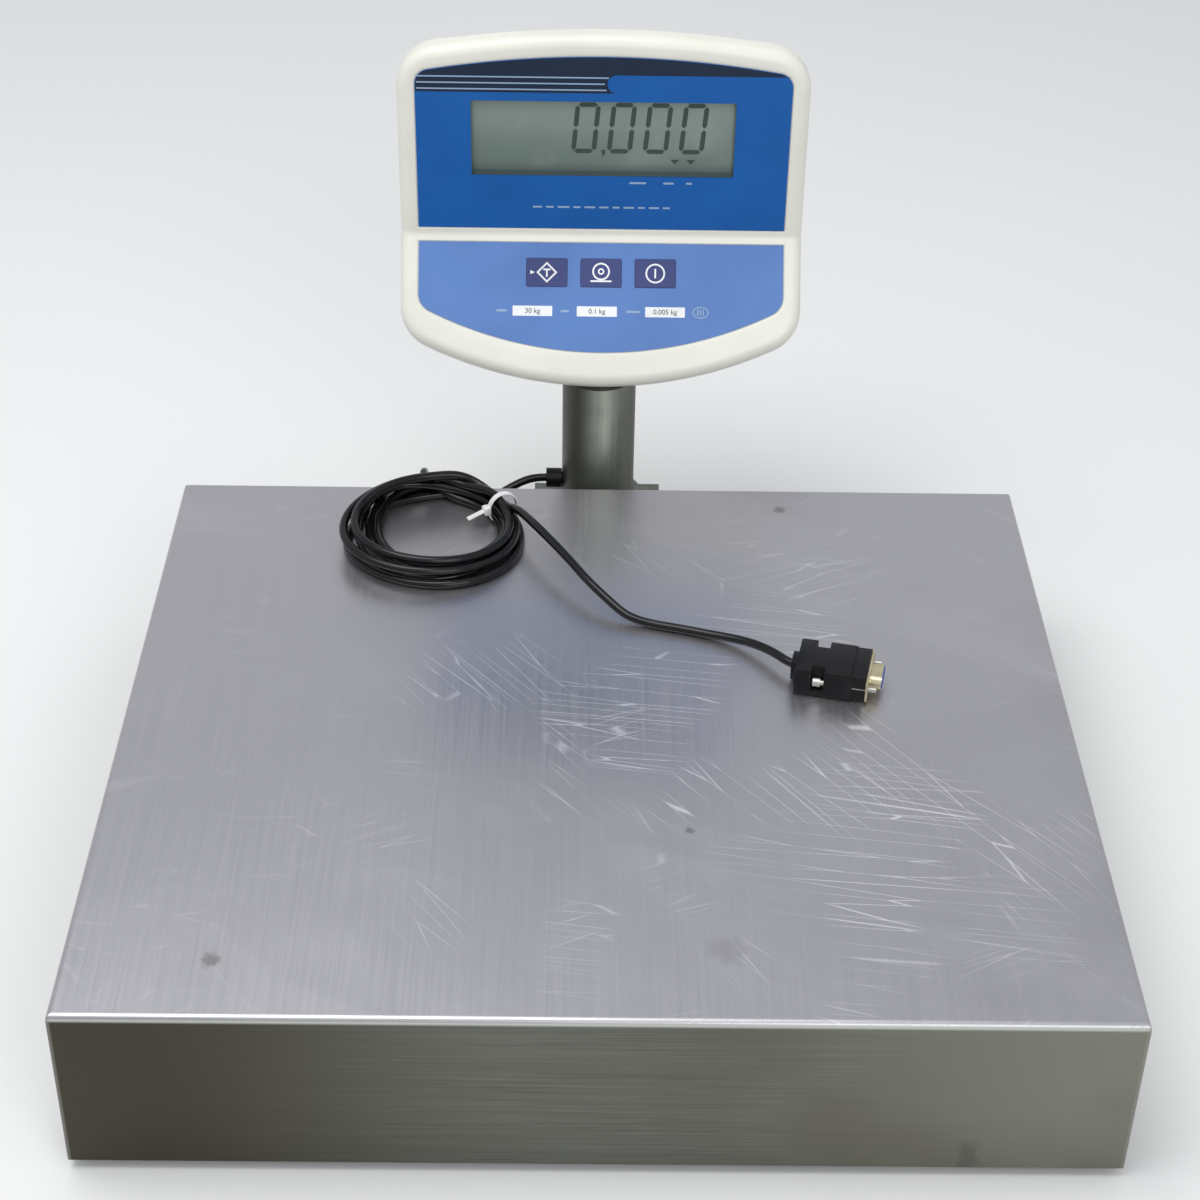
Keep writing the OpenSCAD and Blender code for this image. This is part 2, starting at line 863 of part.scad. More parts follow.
module main_board_body() {
    z0 = bend_z - 20;
    difference() {
        translate([-88, face_y + bezel_t + 10, z0])
            cube([176, board_t, 108]);
        for (x = [-1, 1], z = [5, 103])
            translate([x * 84, face_y, z0 + z])
                rotate([-90, 0, 0])
                    cylinder(d = 3.2, h = 40);
    }
    for (x = [-60, -20, 24])
        translate([x, face_y + bezel_t + 10 + board_t, z0 + 12])
            cube([16, 9, 12]);
    translate([-10, face_y + bezel_t + 10 + board_t, z0 + 52])
        cube([22, 2, 22]);
    for (x = [-70, -54, 44])
        translate([x, face_y + bezel_t + 10 + board_t, z0 + 84])
            rotate([-90, 0, 0])
                cylinder(d = 10, h = 14);
}

module key_board_body() {
    on_slope(dome_top + dome_t, dome_top + dome_t + board_t)
        translate([-60, key_s - 15])
            square([120, 30]);
}

module key_domes_body() {
    for (i = [-1:1])
        on_slope(dome_top, dome_top + dome_t)
            translate([i * key_pitch, key_s])
                circle(d = 9);
}

module key_body(i) {
    on_slope(key_top, key_web)
        key_2d(i, 0);
    on_slope(key_web, dome_top - key_travel - 0.1)
        translate([i * key_pitch, key_s])
            circle(d = 7);
}

module power_inlet_body() {
    translate([inlet_x, rear_y, inlet_z])
        rotate([90, 0, 0]) {
            difference() {
                union() {
                    cylinder(d = 15, h = 2);
                    cylinder(d = 11, h = 16);
                }
                translate([0, 0, -1])
                    cylinder(d = 6.4, h = 12);
            }
            translate([0, 0, 1.5])
                cylinder(d = 2.1, h = 10);
        }
}

// ---------- cable, coil and plug ----------

module cord_coil_body() {
    translate([coil_at[0], coil_at[1], coil_z])
        rotate_extrude($fn = 96)
            translate([coil_mid_r, 0])
                circle(r = coil_tube_r);
}

module cable_tie_body() {
    translate([coil_at[0], coil_at[1], coil_z])
        rotate([0, 0, tie_deg])
            translate([coil_mid_r, 0, 0]) {
                rotate([90, 0, 0])
                    translate([0, 0, -1.8])
                        difference() {
                            cylinder(r = coil_tube_r + 1.3, h = 3.6);
                            translate([0, 0, -1])
                                cylinder(r = coil_tube_r + 0.15, h = 6);
                        }
                translate([-coil_tube_r - 4.6, -2.6, 0])
                    cube([4, 5.2, 5]);
                translate([-coil_tube_r - 20, -1.6, 1.5])
                    cube([15.4, 3.2, 1.2]);
            }
}

module plug_place() {
    translate([hood_at[0], hood_at[1], deck_z])
        rotate([0, 0, hood_deg])
            children();
}

// A box in the plug's own frame, x along the plug.
module plug_box(x0, x1, w, z0, z1) {
    translate([x0, -w / 2, z0])
        cube([x1 - x0, w, z1 - z0]);
}

module plug_hood_body() {
    e = hood_l / 2;
    plug_place()
        difference() {
            union() {
                plug_box(-e, e - 9, hood_w, 1, hood_h - 1);
                plug_box(-e + 1, e - 10, hood_w - 2, 0, hood_h);
                plug_box(e - 9, e - 1.5, hood_w - 3, 0.5, hood_h - 0.5);
                plug_box(-e - 3, -e, 11, 2.5, 13.5);
            }
            for (s = [-1, 1])
                translate([-e + 9, s * 12.4 - 3.6, 4])
                    cube([7, 7.2, 20]);
            for (s = [-1, 1])
                translate([-e + 9, s * 12.4, 8])
                    rotate([0, 90, 0])
                        cylinder(d = 3.3, h = 60);
            for (s = [-1, 1])
                translate([-e - 1, s * 12.4, 8])
                    rotate([0, 90, 0])
                        cylinder(d = 5.5, h = 12);
            plug_box(e - 6, e + 1, 20, 3, 13);
            translate([-e - 4, 0, 8])
                rotate([0, 90, 0])
                    cylinder(d = cord_d + 0.1, h = 12);
        }
}

module d_2d(w, h, r) {
    for (s = [-1, 1])
        translate([s * (w / 2 - r), 0])
            circle(r = r);
    translate([-w / 2 + r, -h / 2])
        square([w - 2 * r, h]);
}

module plug_shell_body() {
    e = hood_l / 2;
    plug_place() {
        difference() {
            plug_box(e - 1.5, e - 0.3, 30.8, 1.75, 14.25);
            for (s = [-1, 1])
                translate([e - 3, s * 12.4, 8])
                    rotate([0, 90, 0])
                        cylinder(d = 3.3, h = 6);
            translate([e - 3, 0, 8])
                rotate([90, 0, 90])
                    linear_extrude(height = 6)
                        d_2d(16.4, 7.6, 3.8);
        }
        translate([e - 1.5, 0, 8])
            rotate([90, 0, 90])
                linear_extrude(height = 7.5)
                    difference() {
                        d_2d(17.4, 8.6, 4.3);
                        d_2d(16.4, 7.6, 3.8);
                    }
    }
}

module plug_insert_body() {
    e = hood_l / 2;
    plug_place()
        difference() {
            translate([e - 5.5, 0, 8])
                rotate([90, 0, 90])
                    linear_extrude(height = 12)
                        d_2d(16.2, 7.4, 3.7);
            for (r = [0, 1], i = [0:4 - r])
                translate([e + 1, (i - 2 + r * 0.5) * 2.75, 8 + (r > 0 ? -1.4 : 1.4)])
                    rotate([0, 90, 0])
                        cylinder(d = 1.2, h = 10, $fn = 16);
        }
}

module plug_screws_body() {
    e = hood_l / 2;
    plug_place()
        for (s = [-1, 1])
            translate([-e + 10, s * 12.4, 8])
                rotate([0, 90, 0]) {
                    cylinder(d = 5, h = 4);
                    cylinder(d = 3, h = 2 * e - 6);
                }
}

// ---------- nodes ----------

module place() {
    translate([0, shift_y, 0])
        children();
}

module platter() { color(c_steel) place() platter_body(); }
module bumpers() { color(c_rubber) place() bumpers_body(); }
module load_frame() { color(c_paint) place() load_frame_body(); }
module cell_top_plate() { color(c_zinc) place() cell_top_plate_body(); }
module cell_top_bolts() { color(c_zinc) place() cell_top_bolts_body(); }
module load_cell_live() { color(c_alu) place() load_cell_live_body(); }
module load_cell_fixed() { color(c_alu) place() load_cell_fixed_body(); }
module cell_base_plate() { color(c_zinc) place() cell_base_plate_body(); }
module cell_base_bolts() { color(c_zinc) place() cell_base_bolts_body(); }
module base_beam() { color(c_paint) place() base_beam_body(); }
module base_rail_left() { color(c_paint) place() base_rail(-1); }
module base_rail_right() { color(c_paint) place() base_rail(1); }
module base_rail_front() { color(c_paint) place() cross_rail(-1); }
module base_rail_rear() { color(c_paint) place() cross_rail(1); }
module stop_screws() { color(c_zinc) place() stop_screws_body(); }
module foot_nuts() { color(c_zinc) place() foot_nuts_body(); }
module foot_stud_fl() { color(c_zinc) place() foot_stud(-1, -1); }
module foot_stud_fr() { color(c_zinc) place() foot_stud(1, -1); }
module foot_stud_rl() { color(c_zinc) place() foot_stud(-1, 1); }
module foot_stud_rr() { color(c_zinc) place() foot_stud(1, 1); }
module foot_pad_fl() { color(c_rubber) place() foot_pad(-1, -1); }
module foot_pad_fr() { color(c_rubber) place() foot_pad(1, -1); }
module foot_pad_rl() { color(c_rubber) place() foot_pad(-1, 1); }
module foot_pad_rr() { color(c_rubber) place() foot_pad(1, 1); }
module column_arm() { color(c_steel) place() column_arm_body(); }
module column_plate() { color(c_steel) place() column_plate_body(); }
module column_bolts() { color(c_zinc) place() column_bolts_body(); }
module column() { color(c_steel) place() column_body(); }
module level_vial() { color(c_glass) place() level_vial_body(); }
module cable_gland() { color(c_black) place() cable_gland_body(); }
module column_fork() { color(c_black) place() column_fork_body(); }
module pivot_bolt() { color(c_zinc) place() pivot_bolt_body(); }
module pivot_nut() { color(c_zinc) place() pivot_nut_body(); }
module bezel() { color(c_cream) place() bezel_body(); }
module rear_cover() { color(c_cream) place() rear_cover_body(); }
module pivot_lug() { color(c_cream) place() pivot_lug_body(); }
module cover_screws() { color(c_zinc) place() cover_screws_body(); }
module upper_label() { color(c_blue) place() upper_label_body(); }
module lower_label() { color(c_lightblue) place() lower_label_body(); }
module lcd_glass() { color(c_glass) place() lcd_glass_body(); }
module lcd_carrier() { color(c_black) place() lcd_carrier_body(); }
module main_board() { color(c_board) place() main_board_body(); }
module key_board() { color(c_board) place() key_board_body(); }
module key_domes() { color(c_white) place() key_domes_body(); }
module key_tare() { color(c_key) place() key_body(-1); }
module key_zero() { color(c_key) place() key_body(0); }
module key_power() { color(c_key) place() key_body(1); }
module power_inlet() { color(c_black) place() power_inlet_body(); }
module cord_rear() { color(c_black) place() cable(rear_run, cord_d); }
module cord_edge() { color(c_black) place() cable(edge_run, cord_d); }
module cord_coil() { color(c_black) place() cord_coil_body(); }
module cord_lead() { color(c_black) place() translate([0, lay_y, 0]) cable(lead_run, cord_d); }
module cable_tie() { color(c_white) place() cable_tie_body(); }
module plug_hood() { color(c_black) place() plug_hood_body(); }
module plug_shell() { color(c_gold) place() plug_shell_body(); }
module plug_insert() { color(c_plugblue) place() plug_insert_body(); }
module plug_screws() { color(c_zinc) place() plug_screws_body(); }

platter();
bumpers();
load_frame();
cell_top_plate();
cell_top_bolts();
load_cell_live();
load_cell_fixed();
cell_base_plate();
cell_base_bolts();
base_beam();
base_rail_left();
base_rail_right();
base_rail_front();
base_rail_rear();
stop_screws();
foot_nuts();
foot_stud_fl();
foot_stud_fr();
foot_stud_rl();
foot_stud_rr();
foot_pad_fl();
foot_pad_fr();
foot_pad_rl();
foot_pad_rr();
column_arm();
column_plate();
column_bolts();
column();
level_vial();
cable_gland();
column_fork();
pivot_bolt();
pivot_nut();
bezel();
rear_cover();
pivot_lug();
cover_screws();
upper_label();
lower_label();
lcd_glass();
lcd_carrier();
main_board();
key_board();
key_domes();
key_tare();
key_zero();
key_power();
power_inlet();
cord_rear();
cord_edge();
cord_coil();
cord_lead();
cable_tie();
plug_hood();
plug_shell();
plug_insert();
plug_screws();
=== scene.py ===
"""Looks of a bench and pallet scale: platter, column, tilting indicator and a coiled data cable."""

import logging
import math
import random
from dataclasses import dataclass, field
from enum import Enum
from typing import Any, Callable, Iterable, Sequence

import bmesh
import bpy
import numpy as np
from mathutils import Euler, Matrix, Vector


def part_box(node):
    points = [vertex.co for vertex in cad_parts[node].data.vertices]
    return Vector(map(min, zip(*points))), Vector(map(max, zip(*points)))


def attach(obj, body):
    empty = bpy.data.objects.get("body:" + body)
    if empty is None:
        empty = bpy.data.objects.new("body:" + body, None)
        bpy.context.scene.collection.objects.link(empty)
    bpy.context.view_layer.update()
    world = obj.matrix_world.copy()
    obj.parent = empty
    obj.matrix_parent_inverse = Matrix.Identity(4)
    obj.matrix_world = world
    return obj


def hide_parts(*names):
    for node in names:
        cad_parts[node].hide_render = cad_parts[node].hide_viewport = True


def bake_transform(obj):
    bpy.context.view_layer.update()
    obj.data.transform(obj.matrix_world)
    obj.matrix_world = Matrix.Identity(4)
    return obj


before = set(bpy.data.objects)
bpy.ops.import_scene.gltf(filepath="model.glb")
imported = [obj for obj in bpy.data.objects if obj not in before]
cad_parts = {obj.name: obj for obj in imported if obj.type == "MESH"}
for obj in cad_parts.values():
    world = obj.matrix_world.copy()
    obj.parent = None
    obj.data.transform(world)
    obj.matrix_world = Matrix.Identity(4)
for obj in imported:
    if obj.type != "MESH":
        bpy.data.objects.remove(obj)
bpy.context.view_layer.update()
LOG = logging.getLogger("pallet_scale")
Point = tuple[float, float]
Loop = list[Point]


# ---------------------------------------------------------------- shader values


class Sock:
    """One shader value; Python's operators on it add Math nodes."""

    def __init__(self, kit: "Kit", out: bpy.types.NodeSocket) -> None:
        """Wraps an output socket."""
        self.kit = kit
        self.out = out

    def _math(self, operation: str, *values: Any) -> "Sock":
        """Adds one Math node on the given values."""
        return self.kit.node("ShaderNodeMath", {"operation": operation}, dict(enumerate(values)))

    def __add__(self, other: Any) -> "Sock":
        """The sum."""
        return self._math("ADD", self, other)

    __radd__ = __add__

    def __sub__(self, other: Any) -> "Sock":
        """The difference."""
        return self._math("SUBTRACT", self, other)

    def __rsub__(self, other: Any) -> "Sock":
        """A number less this value."""
        return self._math("SUBTRACT", other, self)

    def __mul__(self, other: Any) -> "Sock":
        """The product."""
        return self._math("MULTIPLY", self, other)

    __rmul__ = __mul__

    def __truediv__(self, other: Any) -> "Sock":
        """The quotient."""
        return self._math("DIVIDE", self, other)

    def __pow__(self, other: Any) -> "Sock":
        """The power."""
        return self._math("POWER", self, other)

    def __abs__(self) -> "Sock":
        """The size without its sign."""
        return self._math("ABSOLUTE", self)

    def hold(self) -> "Sock":
        """The value held between 0 and 1."""
        return self.kit.node("ShaderNodeMath", {"operation": "ADD", "use_clamp": True}, {0: self, 1: 0.0})


class Kit:
    """Builds one material's node tree."""

    def __init__(self, name: str) -> None:
        """Starts an empty material.

        Args:
            name: the material's name.
        """
        self.material = bpy.data.materials.new(name)
        self.material.use_nodes = True
        self.tree = self.material.node_tree
        self.tree.nodes.clear()
        self.at = self.node("ShaderNodeTexCoord", out="Object")

    def node(
        self,
        kind: str,
        settings: dict[str, Any] | None = None,
        inputs: dict[Any, Any] | None = None,
        out: Any = 0,
    ) -> Sock:
        """Adds a node.

        Args:
            kind: the node's type.
            settings: its options, set first.
            inputs: values or links by socket name or number.
            out: the output that is wanted.

        Returns:
            The wanted output.
        """
        made = self.tree.nodes.new(kind)
        for key, value in (settings or {}).items():
            setattr(made, key, value)
        for key, value in (inputs or {}).items():
            if isinstance(value, Sock):
                self.tree.links.new(value.out, made.inputs[key])
            else:
                made.inputs[key].default_value = value
        return Sock(self, made.outputs[out])

    def axis(self, name: str) -> Sock:
        """The object coordinate along X, Y or Z, in metres."""
        return self.node("ShaderNodeSeparateXYZ", inputs={0: self.at}, out=name)

    def spread(self, scale: Sequence[float], turn: float = 0.0, shift: Sequence[float] = (0, 0, 0)) -> Sock:
        """Object coordinates turned about Z and scaled.

        Args:
            scale: scale along each axis.
            turn: angle about Z in degrees.
            shift: shift after scaling.

        Returns:
            The coordinates.
        """
        kind, option = "ShaderNodeMapping", {"vector_type": "POINT"}
        inner = self.node(kind, option, {0: self.at, "Rotation": (0, 0, math.radians(turn))})
        return self.node(kind, option, {0: inner, "Scale": tuple(scale), "Location": tuple(shift)})

    def noise(
        self, where: Sock, scale: float, detail: float = 3.0, rough: float = 0.5, warp: float = 0.0
    ) -> Sock:
        """Fractal noise between 0 and 1 around 0.5.

        Args:
            where: coordinates.
            scale: scale of the pattern.
            detail: number of octaves.
            rough: weight of the finer octaves.
            warp: distortion.

        Returns:
            The noise.
        """
        return self.node(
            "ShaderNodeTexNoise",
            inputs={
                "Vector": where,
                "Scale": scale,
                "Detail": detail,
                "Roughness": rough,
                "Distortion": warp,
            },
        )

    def step(self, value: Sock, low: float, high: float) -> Sock:
        """A smooth step of value from 0 at low to 1 at high."""
        return self.node(
            "ShaderNodeMapRange",
            {"interpolation_type": "SMOOTHSTEP"},
            {"Value": value, "From Min": low, "From Max": high},
        )

    def mix(self, first: Any, second: Any, share: Any) -> Sock:
        """A colour between first and second."""
        pair = [(*c, 1.0) if isinstance(c, tuple) and len(c) == 3 else c for c in (first, second)]
        return self.node("ShaderNodeMix", {"data_type": "RGBA"}, {0: share, 6: pair[0], 7: pair[1]}, out=2)

    def spot(self, x: float, y: float, size: float, ragged: float = 0.35) -> Sock:
        """A ragged mask round a point of the XY plane.

        Args:
            x: the point's x in metres.
            y: the point's y in metres.
            size: radius of the mask in metres.
            ragged: how uneven its edge is.

        Returns:
            The mask, 1 in the middle.
        """
        far = ((self.axis("X") - x) ** 2.0 + (self.axis("Y") - y) ** 2.0) ** 0.5
        edge = far / size + (self.noise(self.at, 1.6 / size, 3.0) - 0.5) * ragged * 4.0
        return 1.0 - self.step(edge, 0.35, 1.0)

    def surface(
        self,
        base: Any,
        rough: Any,
        metal: Any = 0.0,
        height: Sock | None = None,
        depth: float = 0.0001,
        strength: float = 0.3,
        **fixed: Any,
    ) -> bpy.types.Material:
        """Ends the tree in a principled surface.

        Args:
            base: base colour.
            rough: roughness.
            metal: metalness.
            height: relief for the bump, if any.
            depth: depth of the bump in metres.
            strength: strength of the bump.
            **fixed: other sockets' constants, with "_" for a space.

        Returns:
            The material.
        """
        base = (*base, 1.0) if isinstance(base, tuple) and len(base) == 3 else base
        inputs = {"Base Color": base, "Roughness": rough, "Metallic": metal}
        inputs |= {key.replace("_", " "): value for key, value in fixed.items()}
        if height is not None:
            inputs["Normal"] = self.node(
                "ShaderNodeBump", inputs={"Height": height, "Distance": depth, "Strength": strength}
            )
        shader = self.node("ShaderNodeBsdfPrincipled", inputs=inputs)
        self.node_out(shader)
        return self.material

    def node_out(self, shader: Sock) -> None:
        """Links a shader to the material's output."""
        out = self.tree.nodes.new("ShaderNodeOutputMaterial")
        self.tree.links.new(shader.out, out.inputs["Surface"])


# ---------------------------------------------------------------- finishes

Colour = tuple[float, float, float]


class Finish:
    """A material that is made once, on first use."""

    name: str

    def paint(self, kit: Kit) -> None:
        """Fills the node tree."""
        raise NotImplementedError

    def material(self) -> bpy.types.Material:
        """The finish's material."""
        made = bpy.data.materials.get("finish_" + self.name)
        if made is None:
            kit = Kit("finish_" + self.name)
            self.paint(kit)
            made = kit.material
        return made


@dataclass(frozen=True)
class PlatterSteel(Finish):
    """Worn stainless sheet: front-to-back grain on top, level grain on the skirt, scratches and stains, with
    painted shade on the skirt and a painted highlight along the bend.
    """

    name: str
    deck: float
    rear: float
    front: float
    side: float

    def scratches(self, kit: Kit, turn: float, lengthwise: float, across: float, share: float) -> Sock:
        """Long hairlines at one angle.

        Args:
            kit: the node kit.
            turn: angle of the lines from X in degrees.
            lengthwise: pattern scale along the lines.
            across: pattern scale across the lines.
            share: part of the sheet that has them.

        Returns:
            A mask of thin lines.
        """
        cells = kit.node(
            "ShaderNodeTexVoronoi",
            {"feature": "DISTANCE_TO_EDGE"},
            {"Vector": kit.spread((lengthwise, across, 1.0), turn), "Scale": 1.0},
            out="Distance",
        )
        line = 1.0 - kit.step(cells, 0.0, 0.02)
        cloud = kit.noise(kit.spread((9, 9, 9), turn, (turn, 0, 0)), 1.0, 2.0)
        patch = kit.step(cloud, 0.62 - share, 0.72 - share)
        return line * patch

    def paint(self, kit: Kit) -> None:
        """Fills the node tree."""
        x, y, z = (kit.axis(a) for a in "XYZ")
        on_top = kit.step(z, self.deck - 0.0022, self.deck - 0.0006)
        streak = kit.noise(kit.spread((620, 9, 40)), 1.0, 3.0, 0.6)
        level = kit.noise(kit.spread((16, 16, 1500)), 1.0, 3.0, 0.6)
        grain = on_top * streak + (1.0 - on_top) * level
        cloud = kit.noise(kit.at, 5.0, 4.0, 0.55, 0.4)
        smear = kit.noise(kit.spread((3.2, 9.0, 4.0), 24), 1.0, 4.0, 0.6, 1.2)
        toward = kit.step(y, self.front, self.rear)
        tint = kit.mix((0.50, 0.49, 0.52), (0.54, 0.53, 0.555), toward)
        tint = kit.mix(tint, (0.63, 0.62, 0.645), kit.step(smear, 0.5, 0.78) * 0.5)
        tint = kit.mix(tint, (0.36, 0.35, 0.375), kit.step(cloud, 0.52, 0.8) * 0.45)
        # Painted shade and reflection: the skirt's colour is kept far darker than the top to stand in for
        # the dark floor it reflects, darker still toward the left and lighter toward the right as painted
        # shade and painted light; the level grain and the brown stains are real.
        folded = kit.mix((0.115, 0.12, 0.10), (0.165, 0.17, 0.148), kit.step(level, 0.25, 0.75))
        folded = kit.mix((0.062, 0.056, 0.041), folded, kit.step(x, -0.85 * self.side, -0.1 * self.side))
        folded = kit.mix(folded, (0.215, 0.22, 0.18), kit.step(x, 0.1 * self.side, 1.1 * self.side))
        brown = kit.step(kit.noise(kit.at, 9.0, 2.0), 0.55, 0.75)
        folded = kit.mix(folded, (0.12, 0.10, 0.075), brown * 0.35)
        colour = kit.mix(folded, tint, on_top)
        colour = kit.mix(colour, (0.5, 0.5, 0.5), (streak - 0.5) * on_top * 0.5)
        lines = (
            self.scratches(kit, 8, 7, 120, 0.09)
            + self.scratches(kit, -24, 6, 140, 0.07)
            + self.scratches(kit, 52, 8, 110, 0.06)
        )
        used = 1.0 - kit.step(((x - 0.07) ** 2.0 + (y + 0.1) ** 2.0) ** 0.5, 0.09, 0.27)
        lines = (lines * on_top * (0.15 + used)).hold()
        colour = kit.mix(colour, (0.90, 0.89, 0.91), lines * 0.75)
        marks = kit.spot(0.108, 0.145, 0.005) + kit.spot(-0.18, -0.245, 0.006)
        marks = marks + kit.spot(0.045, -0.15, 0.003)
        marks = marks + kit.spot(0.06, -0.235, 0.012) * 0.3
        marks = marks + kit.spot(0.175, self.front, 0.006) * (1.0 - kit.step(z, 0.018, 0.027))
        colour = kit.mix(colour, (0.09, 0.085, 0.085), marks.hold() * 0.45)
        # Painted highlight: a light band on the skirt just under the bend stands in for the lamps'
        # reflection along the folded edge.
        bend_painted_highlight = kit.step(z, self.deck - 0.0042, self.deck - 0.002) * (1.0 - on_top)
        colour = kit.mix(colour, (0.66, 0.68, 0.64), bend_painted_highlight * 0.8)
        seam = kit.step(abs(x), self.side - 0.0022, self.side - 0.0012) * (1.0 - on_top)
        colour = kit.mix(colour, (0.30, 0.29, 0.27), seam * 0.5)
        rough = 0.36 + (grain - 0.5) * 0.22 + (cloud - 0.5) * 0.22 + lines * 0.12
        relief = grain * 0.5 + kit.noise(kit.at, 3.0, 1.0) * 2.0 - lines * 0.6
        kit.surface(colour, rough.hold(), 0.92, relief, 0.00012, 0.35)


@dataclass(frozen=True)
class Satin(Finish):
    """Bare metal with fine lines along one axis and a mottled tone."""

    name: str
    light: Colour
    dark: Colour
    lines: tuple[float, float, float] = (500.0, 500.0, 12.0)
    rough: float = 0.38
    metal: float = 0.9

    def paint(self, kit: Kit) -> None:
        """Fills the node tree."""
        lines = kit.noise(kit.spread(self.lines), 1.0, 3.0, 0.6)
        tone = kit.noise(kit.at, 30.0, 4.0, 0.6)
        colour = kit.mix(self.dark, self.light, kit.step(tone + (lines - 0.5) * 0.5, 0.25, 0.75))
        kit.surface(colour, (self.rough + (tone - 0.5) * 0.25).hold(), self.metal, lines, 0.00008, 0.25)


@dataclass(frozen=True)
class RoundSteel(Finish):
    """Brushed tube with painted reflection and painted shade: light along its middle, dark at its sides, as
    if in dark surroundings.
    """

    name: str
    half: float

    def paint(self, kit: Kit) -> None:
        """Fills the node tree."""
        lines = kit.noise(kit.spread((420.0, 420.0, 9.0)), 1.0, 3.0, 0.6)
        tone = kit.noise(kit.at, 24.0, 4.0, 0.6)
        # Painted reflection and painted shade: lighter along a band a little right of the axis, dark toward
        # both sides.
        side = kit.step(abs(kit.axis("X") - 0.15 * self.half), 0.1 * self.half, 0.9 * self.half)
        colour = kit.mix((0.40, 0.43, 0.365), (0.07, 0.073, 0.062), side)
        colour = kit.mix(colour, (0.12, 0.12, 0.10), kit.step(tone + (lines - 0.5) * 0.5, 0.45, 0.8) * 0.4)
        kit.surface(colour, (0.44 + (tone - 0.5) * 0.2).hold(), 0.85, lines, 0.00008, 0.25)


@dataclass(frozen=True)
class Moulded(Finish):
    """Moulded plastic with a spark-eroded grain, faint colour drift and scuffs."""

    name: str
    body: Colour
    scuff: Colour
    rough: float = 0.34
    grain: float = 1500.0
    wear: float = 0.25
    coat: float = 0.0
    shine: float = 0.5

    def paint(self, kit: Kit) -> None:
        """Fills the node tree."""
        drift = kit.noise(kit.at, 14.0, 3.0)
        fine = kit.noise(kit.at, self.grain, 2.0)
        rub = kit.noise(kit.spread((40, 90, 60), 31), 1.0, 5.0, 0.7, 0.8)
        worn = kit.step(rub, 0.64, 0.72) * kit.step(drift, 0.45, 0.7)
        shade = tuple(c * 0.93 for c in self.body)
        colour = kit.mix(kit.mix(shade, self.body, kit.step(drift, 0.3, 0.7)), self.scuff, worn * self.wear)
        rough = (self.rough + (drift - 0.5) * 0.12 + worn * 0.25).hold()
        kit.surface(
            colour,
            rough,
            0.0,
            fine + rub * 0.4,
            0.00004,
            0.22,
            Coat_Weight=self.coat,
            Specular_IOR_Level=self.shine,
        )


@dataclass(frozen=True)
class Printed(Finish):
    """Printed polyester film: velvet gloss over an even ink."""

    name: str
    ink: Colour
    rough: float = 0.32

    def paint(self, kit: Kit) -> None:
        """Fills the node tree."""
        drift = kit.noise(kit.at, 22.0, 3.0)
        pebble = kit.node("ShaderNodeTexVoronoi", {}, {"Vector": kit.at, "Scale": 1800.0}, out="Distance")
        smear = kit.step(kit.noise(kit.spread((18, 18, 40)), 1.0, 4.0, 0.6, 0.5), 0.5, 0.8)
        dim = tuple(c * 0.90 for c in self.ink)
        pale = tuple(c * 0.96 + 0.012 for c in self.ink)
        colour = kit.mix(kit.mix(dim, self.ink, kit.step(drift, 0.3, 0.7)), pale, smear * 0.35)
        kit.surface(
            colour, (self.rough + smear * 0.12).hold(), 0.0, pebble, 0.00002, 0.2, Specular_IOR_Level=0.22
        )


@dataclass(frozen=True)
class Coated(Finish):
    """Powder coat with orange peel, or matt rubber when rough is high."""

    name: str
    body: Colour
    rough: float = 0.45
    peel: float = 420.0

    def paint(self, kit: Kit) -> None:
        """Fills the node tree."""
        peel = kit.noise(kit.at, self.peel, 2.0)
        dust = kit.step(kit.noise(kit.at, 26.0, 4.0, 0.65), 0.5, 0.8)
        dusty = tuple(c * 0.7 + 0.05 for c in self.body)
        colour = kit.mix(self.body, dusty, dust * 0.5)
        kit.surface(colour, (self.rough + dust * 0.2).hold(), 0.0, peel, 0.00006, 0.3)


@dataclass(frozen=True)
class Panel(Finish):
    """Reflective liquid crystal: greenish grey, with painted shade darkening it toward its lower edge and a
    painted shadow band along that edge, and a faint matrix.
    """

    name: str
    low: float
    high: float

    def paint(self, kit: Kit) -> None:
        """Fills the node tree."""
        z = kit.axis("Z")
        # Painted shade: darker toward the bottom of the window, with a dark painted shadow band along its
        # lower edge where the bezel's recess would shade it.
        up = kit.step(z, self.low, self.low + 0.009)
        body = kit.mix((0.135, 0.185, 0.155), (0.19, 0.24, 0.21), kit.step(z, self.low, self.high))
        shade = kit.mix((0.075, 0.105, 0.10), body, up)
        cloud = kit.noise(kit.at, 28.0, 3.0)
        colour = kit.mix(shade, (0.29, 0.34, 0.31), kit.step(cloud, 0.45, 0.8) * up * 0.4)
        fine = kit.noise(kit.spread((2500, 1, 2500)), 1.0, 1.0)
        kit.surface(colour, (0.16 + cloud * 0.1).hold(), 0.0, fine, 0.00001, 0.1)


@dataclass(frozen=True)
class Board(Finish):
    """Circuit board: solder resist over copper tracks."""

    name: str

    def paint(self, kit: Kit) -> None:
        """Fills the node tree."""
        cells = kit.node(
            "ShaderNodeTexVoronoi",
            {"feature": "DISTANCE_TO_EDGE", "distance": "EUCLIDEAN"},
            {"Vector": kit.spread((160, 1, 160)), "Scale": 1.0},
            out="Distance",
        )
        track = 1.0 - kit.step(cells, 0.03, 0.06)
        colour = kit.mix((0.02, 0.14, 0.05), (0.06, 0.26, 0.10), track)
        pads = kit.step(kit.noise(kit.at, 240.0, 1.0), 0.70, 0.74)
        colour = kit.mix(colour, (0.55, 0.50, 0.32), pads)
        kit.surface(colour, (0.35 - pads * 0.1).hold(), pads * 0.8, track + pads, 0.00005, 0.4)


